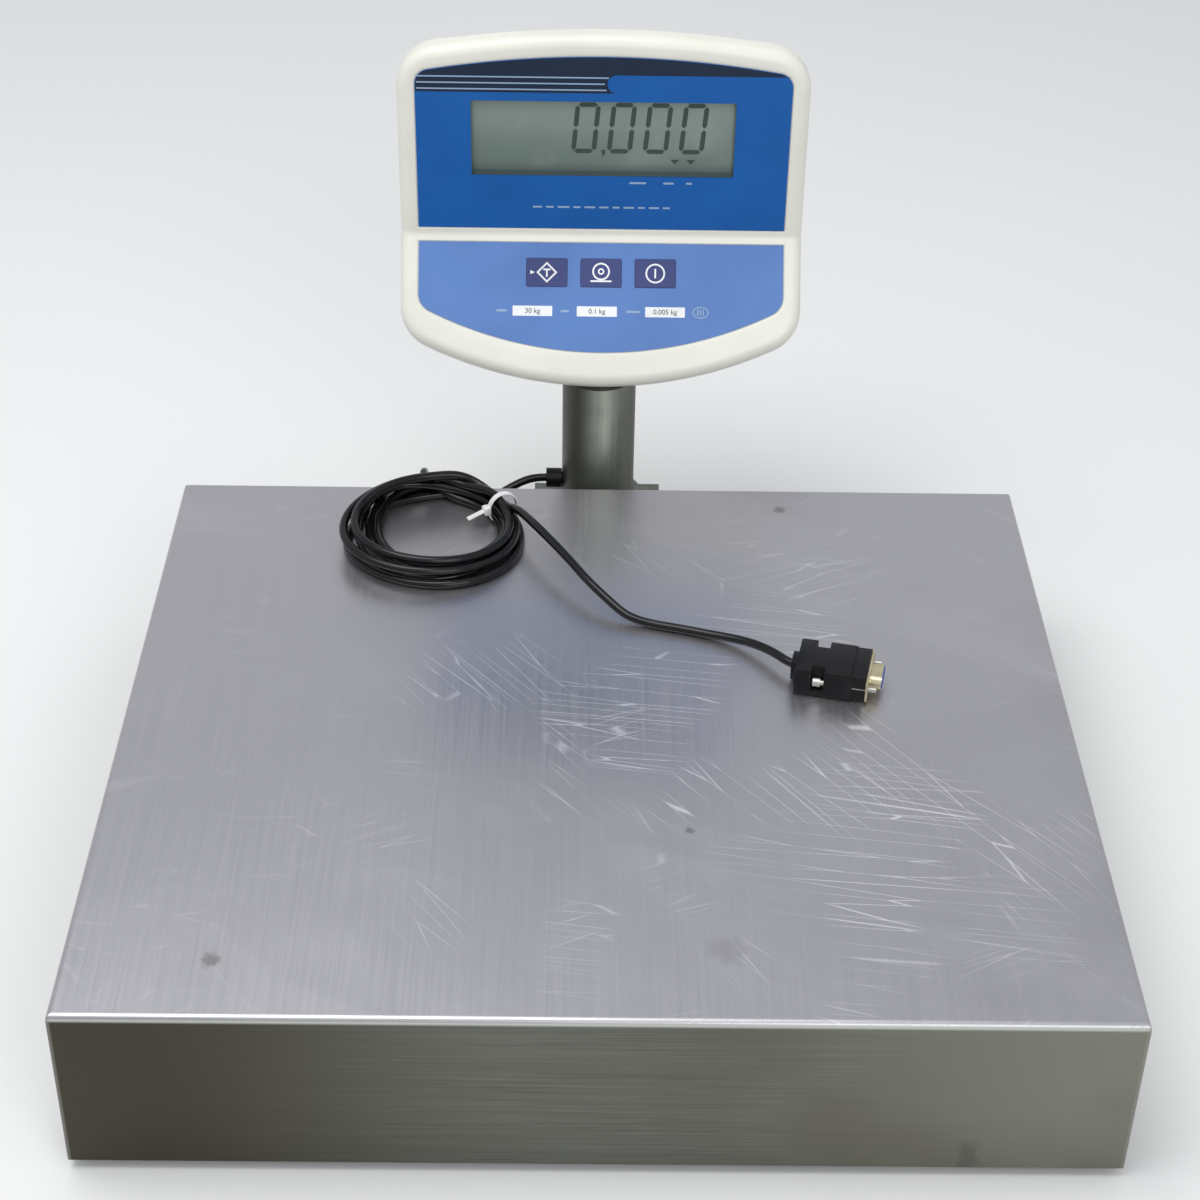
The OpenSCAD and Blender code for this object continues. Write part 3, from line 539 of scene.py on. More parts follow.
@dataclass(frozen=True)
class Clear(Finish):
    """Tinted clear plastic with fine moulding marks."""

    name: str
    tint: Colour

    def paint(self, kit: Kit) -> None:
        """Fills the node tree."""
        swirl = kit.noise(kit.at, 300.0, 2.0)
        colour = kit.mix(self.tint, tuple(c * 0.8 for c in self.tint), swirl)
        kit.surface(colour, (0.08 + swirl * 0.06).hold(), 0.0, swirl, 0.00002, 0.1, Transmission_Weight=0.6)


class Paint(Enum):
    """The finishes that do not depend on a piece's place."""

    COLUMN = Satin("column_satin", (0.235, 0.25, 0.215), (0.15, 0.16, 0.137), (260.0, 260.0, 8.0), 0.42)
    CREAM = Moulded("cream_shell", (0.785, 0.775, 0.69), (0.36, 0.34, 0.28), 0.36, 1400.0, 0.22)
    BLACK = Moulded("black_moulding", (0.009, 0.009, 0.010), (0.22, 0.22, 0.22), 0.38, 1100.0, 0.3, 0.0, 0.2)
    JACKET = Moulded("cable_jacket", (0.0055, 0.0055, 0.006), (0.05, 0.05, 0.05), 0.2, 700.0, 0.1, 0.12, 0.3)
    NYLON = Moulded("white_nylon", (0.80, 0.80, 0.775), (0.5, 0.49, 0.45), 0.42, 900.0, 0.15)
    UPPER = Printed("upper_film", (0.006, 0.105, 0.385))
    LOWER = Printed("lower_film", (0.115, 0.225, 0.52))
    NAVY = Printed("navy_ink", (0.009, 0.021, 0.047))
    PALE = Printed("pale_ink", (0.30, 0.42, 0.58))
    WHITE = Printed("white_ink", (0.86, 0.87, 0.88))
    INK = Printed("black_ink", (0.03, 0.03, 0.035))
    KEY = Printed("key_film", (0.055, 0.07, 0.20), 0.36)
    SEGMENT = Printed("dark_segment", (0.045, 0.07, 0.062), 0.25)
    FRAME = Coated("frame_coat", (0.085, 0.095, 0.09))
    GLOSS_BLACK = Coated("black_coat", (0.012, 0.012, 0.012), 0.35)
    RUBBER = Coated("foot_rubber", (0.014, 0.014, 0.014), 0.7, 900.0)
    ZINC = Satin("zinc_plate", (0.62, 0.61, 0.56), (0.40, 0.40, 0.36), (90.0, 90.0, 90.0), 0.32)
    ALLOY = Satin("milled_alloy", (0.68, 0.69, 0.71), (0.52, 0.53, 0.55), (6.0, 400.0, 400.0), 0.34)
    GOLD = Satin("plug_plate", (0.74, 0.66, 0.45), (0.56, 0.49, 0.31), (80.0, 80.0, 80.0), 0.28)
    PLUG_BLUE = Moulded("blue_insulator", (0.03, 0.10, 0.42), (0.2, 0.3, 0.5), 0.4)
    BOARD = Board("circuit_board")
    VIAL = Clear("vial_green", (0.62, 0.78, 0.24))

    @property
    def material(self) -> bpy.types.Material:
        """The finish's material."""
        return self.value.material()


# ---------------------------------------------------------------- meshes


def join(name: str, parts: Iterable[bpy.types.Mesh]) -> bpy.types.Mesh:
    """Joins meshes into one.

    Args:
        name: name of the new mesh.
        parts: the meshes; they are removed.

    Returns:
        The joined mesh.
    """
    work = bmesh.new()
    for part in parts:
        work.from_mesh(part)
        bpy.data.meshes.remove(part)
    made = bpy.data.meshes.new(name)
    work.to_mesh(made)
    work.free()
    return made


def piece(
    name: str,
    mesh: bpy.types.Mesh,
    paint: bpy.types.Material,
    body: str | None,
    slot: str,
    sharp: float = 32.0,
) -> bpy.types.Object:
    """Makes a finished mesh into a piece of the object.

    Args:
        name: the piece's name.
        mesh: its mesh, in place.
        paint: its material.
        body: the body it rides on, or None to leave it unattached.
        slot: the record's material slot; not used.
        sharp: edges bent more than this, in degrees, stay crisp.

    Returns:
        The piece.
    """
    mesh.name = name
    mesh.materials.clear()
    mesh.materials.append(paint)
    mesh.polygons.foreach_set("material_index", [0] * len(mesh.polygons))
    mesh.polygons.foreach_set("use_smooth", [True] * len(mesh.polygons))
    mesh.set_sharp_from_angle(angle=math.radians(sharp))
    made = bpy.data.objects.new(name, mesh)
    bpy.context.scene.collection.objects.link(made)
    if body is not None:
        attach(made, body)
    LOG.info("%s: %d faces", name, len(mesh.polygons))
    return made


def baked(mesh: bpy.types.Mesh, dress: Callable[[bpy.types.Object], None]) -> bpy.types.Mesh:
    """Applies modifiers to a mesh.

    Args:
        mesh: the mesh, which is removed.
        dress: adds the modifiers to the temporary object.

    Returns:
        The plain mesh that they give.
    """
    holder = bpy.data.objects.new("holder", mesh)
    bpy.context.scene.collection.objects.link(holder)
    dress(holder)
    bpy.context.view_layer.update()
    graph = bpy.context.evaluated_depsgraph_get()
    made = bpy.data.meshes.new_from_object(holder.evaluated_get(graph))
    bpy.data.objects.remove(holder)
    bpy.data.meshes.remove(mesh)
    return made


def loft(
    name: str, rows: Sequence[Sequence[Vector]], around: bool = True, closed: bool = True
) -> bpy.types.Mesh:
    """Joins rows of points with four-sided faces.

    Args:
        name: the mesh's name.
        rows: rows of equal length.
        around: whether each row is a closed loop.
        closed: whether the last row joins the first.

    Returns:
        The mesh, with its faces outwards.
    """
    count = len(rows[0])
    work = bmesh.new()
    verts = [[work.verts.new(p) for p in row] for row in rows]
    for i in range(len(rows) if closed else len(rows) - 1):
        here, there = verts[i], verts[(i + 1) % len(rows)]
        for j in range(count if around else count - 1):
            k = (j + 1) % count
            work.faces.new((here[j], here[k], there[k], there[j]))
    if not closed and around:
        work.faces.new(verts[0])
        work.faces.new(verts[-1])
    bmesh.ops.recalc_face_normals(work, faces=work.faces)
    made = bpy.data.meshes.new(name)
    work.to_mesh(made)
    work.free()
    return made


def turned(name: str, profile: Sequence[Point], place: Matrix, sides: int = 48) -> bpy.types.Mesh:
    """Turns a closed outline of radius and height about an axis.

    Args:
        name: the mesh's name.
        profile: points of radius and height, none on the axis.
        place: where the axis goes.
        sides: number of sides.

    Returns:
        The mesh.
    """
    rows = []
    for radius, height in profile:
        angles = (math.tau * k / sides for k in range(sides))
        rows.append([place @ Vector((radius * math.cos(a), radius * math.sin(a), height)) for a in angles])
    return loft(name, rows)


def softened(node: str, width: float, segments: int = 2, angle: float = 30.0) -> bpy.types.Mesh:
    """A copy of a CAD node's shape with its edges rounded.

    Args:
        node: the node.
        width: width of the rounding in metres.
        segments: steps of the rounding.
        angle: only edges bent more than this, in degrees, are rounded.

    Returns:
        The mesh.
    """
    work = bmesh.new()
    work.from_mesh(bpy.data.objects[node].data)
    bmesh.ops.remove_doubles(work, verts=work.verts, dist=1e-6)
    bmesh.ops.dissolve_limit(work, angle_limit=math.radians(0.8), verts=work.verts, edges=work.edges)
    made = bpy.data.meshes.new(node + "_soft")
    work.to_mesh(made)
    work.free()

    def dress(holder: bpy.types.Object) -> None:
        """Adds the bevel."""
        bevel = holder.modifiers.new("edges", "BEVEL")
        bevel.width = width
        bevel.segments = segments
        bevel.limit_method = "ANGLE"
        bevel.angle_limit = math.radians(angle)
        bevel.use_clamp_overlap = True

    return baked(made, dress)


class Layout(Enum):
    """How a repeated detail is laid out."""

    RING = "ring"
    ROW = "row"


@dataclass(frozen=True)
class Repeat:
    """Geometry Nodes that repeat one small mesh in a ring about Z or in a row along X."""

    layout: Layout
    count: int
    size: float

    def tree(self, paint: bpy.types.Material, detail: bpy.types.Object) -> bpy.types.NodeTree:
        """Builds the node tree.

        Args:
            paint: material of the result.
            detail: the object that is repeated.

        Returns:
            The tree, with the inputs Count and Size.
        """
        group = bpy.data.node_groups.new(f"repeat_{self.layout.value}", "GeometryNodeTree")
        group.interface.new_socket("Geometry", in_out="OUTPUT", socket_type="NodeSocketGeometry")
        count = group.interface.new_socket("Count", in_out="INPUT", socket_type="NodeSocketInt")
        size = group.interface.new_socket("Size", in_out="INPUT", socket_type="NodeSocketFloat")
        new, link = group.nodes.new, group.links.new
        given, result = new("NodeGroupInput"), new("NodeGroupOutput")
        info = new("GeometryNodeObjectInfo")
        info.inputs["Object"].default_value = detail
        put = new("GeometryNodeInstanceOnPoints")
        if self.layout is Layout.RING:
            circle = new("GeometryNodeMeshCircle")
            link(given.outputs[count.name], circle.inputs["Vertices"])
            link(given.outputs[size.name], circle.inputs["Radius"])
            link(circle.outputs[0], put.inputs["Points"])
            index = new("GeometryNodeInputIndex")
            turn = new("ShaderNodeMath")
            turn.operation = "MULTIPLY"
            turn.inputs[1].default_value = math.tau / self.count
            link(index.outputs[0], turn.inputs[0])
            spin = new("ShaderNodeCombineXYZ")
            link(turn.outputs[0], spin.inputs["Z"])
            link(spin.outputs[0], put.inputs["Rotation"])
        else:
            line = new("GeometryNodeMeshLine")
            step = new("ShaderNodeCombineXYZ")
            link(given.outputs[size.name], step.inputs["X"])
            link(given.outputs[count.name], line.inputs["Count"])
            link(step.outputs[0], line.inputs["Offset"])
            link(line.outputs[0], put.inputs["Points"])
        real, dress = new("GeometryNodeRealizeInstances"), new("GeometryNodeSetMaterial")
        dress.inputs["Material"].default_value = paint
        link(info.outputs["Geometry"], put.inputs["Instance"])
        link(put.outputs[0], real.inputs[0])
        link(real.outputs[0], dress.inputs["Geometry"])
        link(dress.outputs[0], result.inputs[0])
        return group

    def build(self, detail: bpy.types.Mesh, place: Matrix, paint: bpy.types.Material) -> bpy.types.Mesh:
        """Repeats a mesh.

        Args:
            detail: the mesh, which is removed.
            place: where the ring or row goes.
            paint: material of the result.

        Returns:
            The plain mesh, in place.
        """
        source = bpy.data.objects.new("detail", detail)
        bpy.context.scene.collection.objects.link(source)
        group = self.tree(paint, source)

        def dress(holder: bpy.types.Object) -> None:
            """Adds the node modifier with its sizes."""
            nodes = holder.modifiers.new("repeat", "NODES")
            nodes.node_group = group
            values = {"Count": self.count, "Size": self.size}
            for item in group.interface.items_tree:
                if item.name in values and item.in_out == "INPUT":
                    nodes[item.identifier] = values[item.name]

        made = baked(bpy.data.meshes.new("seat"), dress)
        bpy.data.objects.remove(source)
        bpy.data.meshes.remove(detail)
        bpy.data.node_groups.remove(group)
        made.transform(place)
        return made


def block(size: Sequence[float], centre: Sequence[float], round_by: float) -> bpy.types.Mesh:
    """A small block with rounded edges.

    Args:
        size: its three sides.
        centre: its middle.
        round_by: width of the rounding.

    Returns:
        The mesh.
    """
    work = bmesh.new()
    bmesh.ops.create_cube(work, size=1.0)
    bmesh.ops.scale(work, vec=Vector(size), verts=work.verts)
    bmesh.ops.bevel(work, geom=list(work.edges), offset=round_by, segments=2, affect="EDGES", profile=0.5)
    bmesh.ops.translate(work, vec=Vector(centre), verts=work.verts)
    made = bpy.data.meshes.new("block")
    work.to_mesh(made)
    work.free()
    return made


# ---------------------------------------------------------------- the indicator's bent front


def rounded(x0: float, v0: float, x1: float, v1: float, radius: float, steps: int = 5) -> Loop:
    """A rectangle with round corners, in the front's own coordinates."""
    made = []
    for cx, cy, start in ((x1, v1, 0), (x0, v1, 90), (x0, v0, 180), (x1, v0, 270)):
        mx = cx - math.copysign(radius, cx - (x0 + x1) / 2)
        my = cy - math.copysign(radius, cy - (v0 + v1) / 2)
        for k in range(steps + 1):
            a = math.radians(start + 90 * k / steps)
            made.append((mx + radius * math.cos(a), my + radius * math.sin(a)))
    return made


def disc(x: float, v: float, rx: float, rv: float | None = None, steps: int = 40) -> Loop:
    """A circle or an ellipse."""
    rv = rx if rv is None else rv
    turns = (math.tau * k / steps for k in range(steps))
    return [(x + rx * math.cos(a), v + rv * math.sin(a)) for a in turns]


def stroke(x0: float, v0: float, x1: float, v1: float, width: float) -> Loop:
    """A straight bar from one point to another."""
    dx, dv = x1 - x0, v1 - v0
    far = math.hypot(dx, dv)
    nx, nv = -dv / far * width / 2, dx / far * width / 2
    return [(x0 + nx, v0 + nv), (x1 + nx, v1 + nv), (x1 - nx, v1 - nv), (x0 - nx, v0 - nv)]


@dataclass(frozen=True)
class Arched:
    """An outline with straight sides, arched ends and round corners, in the front's own coordinates."""

    half: float
    top: float
    top_r: float
    top_c: float
    low: float
    low_r: float
    low_c: float

    def inset(self, by: float) -> "Arched":
        """The outline moved inwards."""
        return Arched(
            self.half - by, self.top - by, self.top_r - by, max(self.top_c - by, 0.003),
            self.low - by, self.low_r - by, max(self.low_c - by, 0.003),
        )

    @staticmethod
    def quarter(half: float, end: float, radius: float, corner: float) -> Loop:
        """One end's arc and corner, from the middle outwards."""
        cx = half - corner
        rise = math.sqrt((radius - corner) ** 2 - cx**2)
        cy = end - radius + rise
        turn = math.atan2(cx, rise)
        arc = [turn * k / 22 for k in range(22)]
        made = [(radius * math.sin(a), end - radius + radius * math.cos(a)) for a in arc]
        bend = [turn + (math.pi / 2 - turn) * k / 12 for k in range(13)]
        return made + [(cx + corner * math.sin(a), cy + corner * math.cos(a)) for a in bend]

    def loop(self) -> Loop:
        """The whole outline, clockwise from the top's middle."""
        upper = self.quarter(self.half, self.top, self.top_r, self.top_c)
        lower = [(x, -v) for x, v in self.quarter(self.half, self.low, self.low_r, self.low_c)]
        high, deep = upper[-1][1], lower[-1][1]
        crease = 0.012
        stops = [high + (crease - high) * k / 8 for k in range(1, 8)]
        stops += [crease - 2 * crease * k / 14 for k in range(15)]
        stops += [-crease + (deep + crease) * k / 4 for k in range(1, 4)]
        right = upper + [(self.half, v) for v in stops] + lower[::-1]
        return right + [(-x, v) for x, v in right[-2:0:-1]]


@dataclass(frozen=True)
class Front:
    """The bent front: x to the right, v up the display face or, below zero, down the key slope."""

    face_y: float
    bend_z: float
    slope: float

    def at(self, x: float, v: float, t: float) -> Vector:
        """The point at x and v, t behind the surface."""
        sin, cos = math.sin(self.slope), math.cos(self.slope)
        soft = 0.004 + 0.4 * max(t, 0.0)
        share = min(max((soft - v) / (2 * soft), 0.0), 1.0)
        share = share * share * (3 - 2 * share)
        upper = Vector((x, self.face_y + t, self.bend_z + v))
        lower = Vector((x, self.face_y + v * sin + t * cos, self.bend_z + v * cos - t * sin))
        return upper.lerp(lower, share)

    def ring(self, loop: Loop, t: float) -> list[Vector]:
        """A loop placed at one depth."""
        return [self.at(x, v, t) for x, v in loop]

    def plate(self, loops: Sequence[Loop], t0: float, t1: float) -> bpy.types.Mesh:
        """A flat solid with the given outlines; a loop within a loop is a hole.

        Args:
            loops: the outlines.
            t0: depth of its front.
            t1: depth of its back.

        Returns:
            The mesh, in place.
        """
        curve = bpy.data.curves.new("flat", "CURVE")
        curve.dimensions = "2D"
        curve.fill_mode = "BOTH"
        curve.extrude = (t1 - t0) / 2
        for loop in loops:
            line = curve.splines.new("POLY")
            line.points.add(len(loop) - 1)
            for spot, (x, v) in zip(line.points, loop):
                spot.co = (x, v, 0, 1)
            line.use_cyclic_u = True
        return self._placed(curve, (t0 + t1) / 2)

    def words(self, text: str, x: float, v: float, height: float, t0: float, t1: float) -> bpy.types.Mesh:
        """Raised figures centred on a point."""
        curve = bpy.data.curves.new("figures", "FONT")
        curve.body = text
        curve.size = height * 1.38
        curve.extrude = (t1 - t0) / 2
        curve.align_x = "CENTER"
        curve.align_y = "CENTER"
        return self._placed(curve, (t0 + t1) / 2, x, v)

    def _placed(
        self, curve: bpy.types.Curve, depth: float, x: float = 0.0, v: float = 0.0
    ) -> bpy.types.Mesh:
        """Turns a flat curve into a mesh on the front.

        Args:
            curve: the curve, which is removed.
            depth: depth of its middle.
            x: shift to the right.
            v: shift up the front.

        Returns:
            The mesh, in place.
        """
        holder = bpy.data.objects.new("flat", curve)
        bpy.context.scene.collection.objects.link(holder)
        bpy.context.view_layer.update()
        graph = bpy.context.evaluated_depsgraph_get()
        made = bpy.data.meshes.new_from_object(holder.evaluated_get(graph))
        bpy.data.objects.remove(holder)
        bpy.data.curves.remove(curve)
        for vert in made.vertices:
            px, pv, pz = vert.co
            vert.co = self.at(px + x, pv + v, depth - pz)
        work = bmesh.new()
        work.from_mesh(made)
        bmesh.ops.remove_doubles(work, verts=work.verts, dist=1e-7)
        work.to_mesh(made)
        work.free()
        return made


# ---------------------------------------------------------------- view and light


@dataclass
class Studio:
    """Camera, pale floor and soft light."""

    stand: tuple[float, float, float] = (-0.0133, -1.0509, 0.8694)
    turn: tuple[float, float, float] = (55.02, -0.85, -0.14)
    lens: float = 71.3
    floor: float = 12.0

    def camera(self) -> None:
        """Places the camera."""
        data = bpy.data.cameras.new("camera")
        data.lens = self.lens
        data.sensor_width = 36.0
        made = bpy.data.objects.new("camera", data)
        made.location = self.stand
        made.rotation_euler = Euler([math.radians(a) for a in self.turn])
        bpy.context.scene.collection.objects.link(made)
        bpy.context.scene.camera = made

    def ground(self) -> None:
        """Lays the floor."""
        kit = Kit("pale_floor")
        tone = kit.noise(kit.at, 1.5, 2.0)
        kit.surface(kit.mix((0.83, 0.83, 0.82), (0.87, 0.87, 0.865), tone), 0.75)
        work = bmesh.new()
        bmesh.ops.create_grid(work, x_segments=1, y_segments=1, size=self.floor / 2)
        mesh = bpy.data.meshes.new("floor")
        work.to_mesh(mesh)
        work.free()
        mesh.materials.append(kit.material)
        made = bpy.data.objects.new("floor", mesh)
        bpy.context.scene.collection.objects.link(made)

    def lamp(self, name: str, at: Sequence[float], aim: Sequence[float], size: float, power: float) -> None:
        """Hangs one soft lamp.

        Args:
            name: its name.
            at: its place.
            aim: the point that it faces.
            size: its side.
            power: its power in watts.
        """
        data = bpy.data.lights.new(name, "AREA")
        data.size = size
        data.energy = power
        made = bpy.data.objects.new(name, data)
        made.location = at
        made.rotation_euler = (Vector(aim) - Vector(at)).to_track_quat("-Z", "Y").to_euler()
        bpy.context.scene.collection.objects.link(made)

    def light(self) -> None:
        """Sets the sky and the lamps."""
        world = bpy.data.worlds.new("studio")
        world.use_nodes = True
        world.node_tree.nodes["Background"].inputs[0].default_value = (0.93, 0.96, 1.0, 1.0)
        world.node_tree.nodes["Background"].inputs[1].default_value = 0.62
        bpy.context.scene.world = world
        bpy.context.scene.view_settings.view_transform = "Standard"
        self.lamp("overhead", (-0.5, -0.2, 1.9), (0.0, -0.05, 0.1), 1.3, 19.0)
        self.lamp("front", (0.7, -1.9, 1.3), (0.0, 0.0, 0.1), 1.2, 12.0)


# ---------------------------------------------------------------- cable


@dataclass
class Cable:
    """The data cable: from the gland over the rear edge, in a loose coil, then to the plug."""

    deck: float
    shift: float
    diameter: float = 0.005
    turns: int = 6
    middle: Point = (-0.095, 0.168)
    tie_turn: float = 28.0
    sides: int = 14
    rear: list[tuple[float, float, float]] = field(default_factory=lambda: [
        (-0.032, 0.265, 0.082), (-0.042, 0.265, 0.081), (-0.054, 0.261, 0.077), (-0.066, 0.255, 0.072),
        (-0.074, 0.252, 0.070), (-0.080, 0.252, 0.070), (-0.086, 0.252, 0.070), (-0.096, 0.249, 0.071),
        (-0.103, 0.242, 0.076), (-0.105, 0.234, 0.086), (-0.105, 0.233, 0.098), (-0.105, 0.230, 0.107),
        (-0.105, 0.223, 0.111), (-0.104, 0.215, 0.110),
    ])
    lead: list[tuple[float, float, float]] = field(default_factory=lambda: [
        (-0.054, 0.186, 0.111), (-0.047, 0.176, 0.115), (-0.038, 0.159, 0.117), (-0.028, 0.142, 0.117),
        (-0.017, 0.125, 0.115), (-0.006, 0.108, 0.112), (0.006, 0.094, 0.108), (0.016, 0.085, 0.1045),
        (0.028, 0.0805, 0.1027), (0.044, 0.076, 0.1026), (0.061, 0.0705, 0.1028), (0.074, 0.065, 0.104),
        (0.084, 0.0585, 0.1056), (0.092, 0.051, 0.107), (0.098, 0.0435, 0.108), (0.1024, 0.038, 0.108),
        (0.107, 0.0353, 0.108),
    ])

    def coil(self) -> list[tuple[float, float, float]]:
        """The turns of the coil: tight where the tie holds them, loose elsewhere."""
        across = (-0.9, 0.9, 0.0, -0.55, 0.55, -0.05)
        above = (0.0, 0.0, 0.0, 0.95, 0.95, 1.85)
        points = []
        per_turn = 26
        start = 78.0
        total = self.turns * 360.0 - (self.tie_turn - start) - 22.0
        count = int(per_turn * total / 360.0)
        for k in range(count):
            angle = start - total * k / (count - 1)
            place = min(k / per_turn, self.turns - 1.001)
            strand = int(place)
            into = max(0.0, (place - strand) * 2.4 - 1.4)
            into = into * into * (3 - 2 * into)
            out = across[strand] + (across[strand + 1] - across[strand]) * into
            up = above[strand] + (above[strand + 1] - above[strand]) * into
            loose = 0.5 - 0.5 * math.cos(math.radians(angle - self.tie_turn))
            wave = math.sin(math.radians(2 * angle) + 1.9 * strand) * 0.0055
            sag = math.sin(math.radians(angle) + 2.3 * strand) * 0.0065
            radius = 0.0455 + out * self.diameter * (1 + 1.1 * loose) + (wave + sag) * loose
            height = self.deck + self.diameter * (0.52 + up * (1 - 0.25 * loose))
            height += 0.006 * loose * (0.5 + 0.5 * math.sin(math.radians(angle) + strand)) * (strand > 3)
            rear = max(0.0, math.sin(math.radians(angle - 35.0)))
            height += 0.007 * rear * rear * (strand in (2, 4))
            turn = math.radians(angle)
            x = self.middle[0] + radius * math.cos(turn)
            y = self.middle[1] + radius * math.sin(turn)
            points.append((x, y, height))
        return points

    def route(self) -> np.ndarray:
        """The whole centreline, evenly spaced and clear of itself and of the deck."""
        points = np.array(self.rear + self.coil() + self.lead)
        points[:, 1] += self.shift
        fixed_rear, fixed_lead = len(self.rear) - 1, len(self.lead)
        dense, kind = [], []
        for i in range(len(points) - 1):
            a, b, c, d = (points[min(max(i + k, 0), len(points) - 1)] for k in (-1, 0, 1, 2))
            steps = max(1, round(np.linalg.norm(c - b) / 0.0036))
            for s in range(steps):
                t = s / steps
                dense.append(0.5 * (2 * b + (c - a) * t + (2 * a - 5 * b + 4 * c - d) * t**2
                                    + (3 * b - a - 3 * c + d) * t**3))
                kind.append(i < fixed_rear or i >= len(points) - fixed_lead)
        dense.append(points[-1])
        kind.append(True)
        line, held = np.array(dense), np.array(kind)
        aim, count = line.copy(), len(line)
        apart = np.abs(np.subtract.outer(np.arange(count), np.arange(count))) > 5
        for _ in range(70):
            ease = np.zeros_like(line)
            ease[1:-1] = (line[:-2] + line[2:]) / 2 - line[1:-1]
            line += np.where(held[:, None], 0.0, 0.45 * ease + 0.03 * (aim - line))
            gap = line[:, None] - line[None]
            far = np.linalg.norm(gap, axis=2) + 1e-9
            push = np.where(apart & (far < self.diameter * 1.03), (self.diameter * 1.03 - far) / far, 0.0)
            line += np.where(held[:, None], 0.0, 0.35 * (push[..., None] * gap).sum(axis=1))
            low = ~held & (line[:, 2] < self.deck + self.diameter / 2)
            line[low, 2] = self.deck + self.diameter / 2
        for _ in range(3):
            line[1:-1] += 0.3 * ((line[:-2] + line[2:]) / 2 - line[1:-1])
        return line

    def sweep(self, line: np.ndarray) -> bpy.types.Mesh:
        """Sweeps a round section along the centreline with Geometry Nodes.

        Args:
            line: the centreline.

        Returns:
            The tube's mesh.
        """
        rail = bpy.data.meshes.new("rail")
        rail.from_pydata([tuple(p) for p in line], [(i, i + 1) for i in range(len(line) - 1)], [])
        group = bpy.data.node_groups.new("cable_sweep", "GeometryNodeTree")
        group.interface.new_socket("Geometry", in_out="INPUT", socket_type="NodeSocketGeometry")
        radius = group.interface.new_socket("Radius", in_out="INPUT", socket_type="NodeSocketFloat")
        group.interface.new_socket("Geometry", in_out="OUTPUT", socket_type="NodeSocketGeometry")
        new, link = group.nodes.new, group.links.new
        given, result = new("NodeGroupInput"), new("NodeGroupOutput")
        path, section = new("GeometryNodeMeshToCurve"), new("GeometryNodeCurvePrimitiveCircle")
        tube, real = new("GeometryNodeCurveToMesh"), new("GeometryNodeRealizeInstances")
        dress = new("GeometryNodeSetMaterial")
        section.inputs["Resolution"].default_value = self.sides
        tube.inputs["Fill Caps"].default_value = True
        dress.inputs["Material"].default_value = Paint.JACKET.material
        link(given.outputs["Geometry"], path.inputs["Mesh"])
        link(given.outputs["Radius"], section.inputs["Radius"])
        link(path.outputs[0], tube.inputs["Curve"])
        link(section.outputs[0], tube.inputs["Profile Curve"])
        link(tube.outputs[0], real.inputs[0])
        link(real.outputs[0], dress.inputs["Geometry"])
        link(dress.outputs[0], result.inputs[0])

        def dress_rail(holder: bpy.types.Object) -> None:
            """Adds the sweep with its radius."""
            nodes = holder.modifiers.new("sweep", "NODES")
            nodes.node_group = group
            nodes[radius.identifier] = self.diameter / 2

        made = baked(rail, dress_rail)
        work = bmesh.new()
        work.from_mesh(made)
        bmesh.ops.remove_doubles(work, verts=work.verts, dist=1e-6)
        bmesh.ops.recalc_face_normals(work, faces=work.faces)
        work.to_mesh(made)
        work.free()
        return made

    def tie(self, line: np.ndarray) -> bpy.types.Mesh:
        """The nylon tie round the bundle: band, head, teeth and tail."""
        turn = math.radians(self.tie_turn)
        out = np.array([math.cos(turn), math.sin(turn), 0.0])
        along = np.array([-math.sin(turn), math.cos(turn), 0.0])
        hub = np.array([self.middle[0], self.middle[1] + self.shift, 0.0])
        near = line[(np.abs((line - hub) @ along) < 0.004) & ((line - hub) @ out > 0.02)]
        reach, lift = (near - hub) @ out, near[:, 2]
        c_out, c_up = (reach.min() + reach.max()) / 2, (lift.min() + lift.max()) / 2
        r_out = (reach.max() - reach.min() + self.diameter) / 2 + 0.0007
        r_up = (lift.max() - lift.min() + self.diameter) / 2 + 0.0004
        rows, wide, thick = [], 0.0036, 0.0012
        crown, under = 0.38, -0.35
        section = ((-0.5, 0.0), (-crown, 1.0), (crown, 1.0), (0.5, 0.0), (crown, under), (-crown, under))
        for side, more in section:
            row = []
            for k in range(56):
                a = math.tau * k / 56
                grow = thick * (0.5 + more * 0.5)
                p = hub + out * (c_out + (r_out + grow) * math.cos(a)) + along * side * wide
                p[2] = max(c_up + (r_up + grow) * math.sin(a), self.deck + 0.0002 + 0.0004 * (1 - more))
                row.append(Vector(p))
            rows.append(row)
        band = loft("band", rows)
        seat = Matrix.Translation(Vector(hub + out * (c_out - r_out - 0.0022) + np.array([0, 0, c_up])))
        seat = seat @ Matrix.Rotation(turn, 4, "Z")
        head = block((0.0042, 0.0054, 0.005), (0, 0, 0.001), 0.0008)
        tail = block((0.012, 0.0034, 0.0011), (-0.0065, 0, 0.0014), 0.0004)
        droop = Matrix.Rotation(math.radians(-14), 4, "Y")
        tail.transform(droop)
        for part in (head, tail):
            part.transform(seat)
        tooth = block((0.0005, 0.0022, 0.0004), (0, 0, 0), 0.0001)
        teeth = Repeat(Layout.ROW, 8, 0.0011).build(
            tooth, seat @ droop @ Matrix.Translation((-0.0118, 0, 0.002)), Paint.NYLON.material
        )
        return join("tie", (band, head, tail, teeth))

    def build(self, hood: bpy.types.Object) -> None:
        """Makes the cable and its tie.

        Args:
            hood: the plug's hood, which goes with the cable; not used.
        """
        line = self.route()
        cable = piece("data_cable", self.sweep(line), Paint.JACKET.material, None, "cable_black", 60)
        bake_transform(cable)
        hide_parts("cord_rear", "cord_edge", "cord_coil", "cord_lead")
        tie = piece("coil_tie", self.tie(line), Paint.NYLON.material, "weighing_platter", "white_plastic")
        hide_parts("cable_tie")
        tuple(line[0])
        [tuple(p) for p in line]


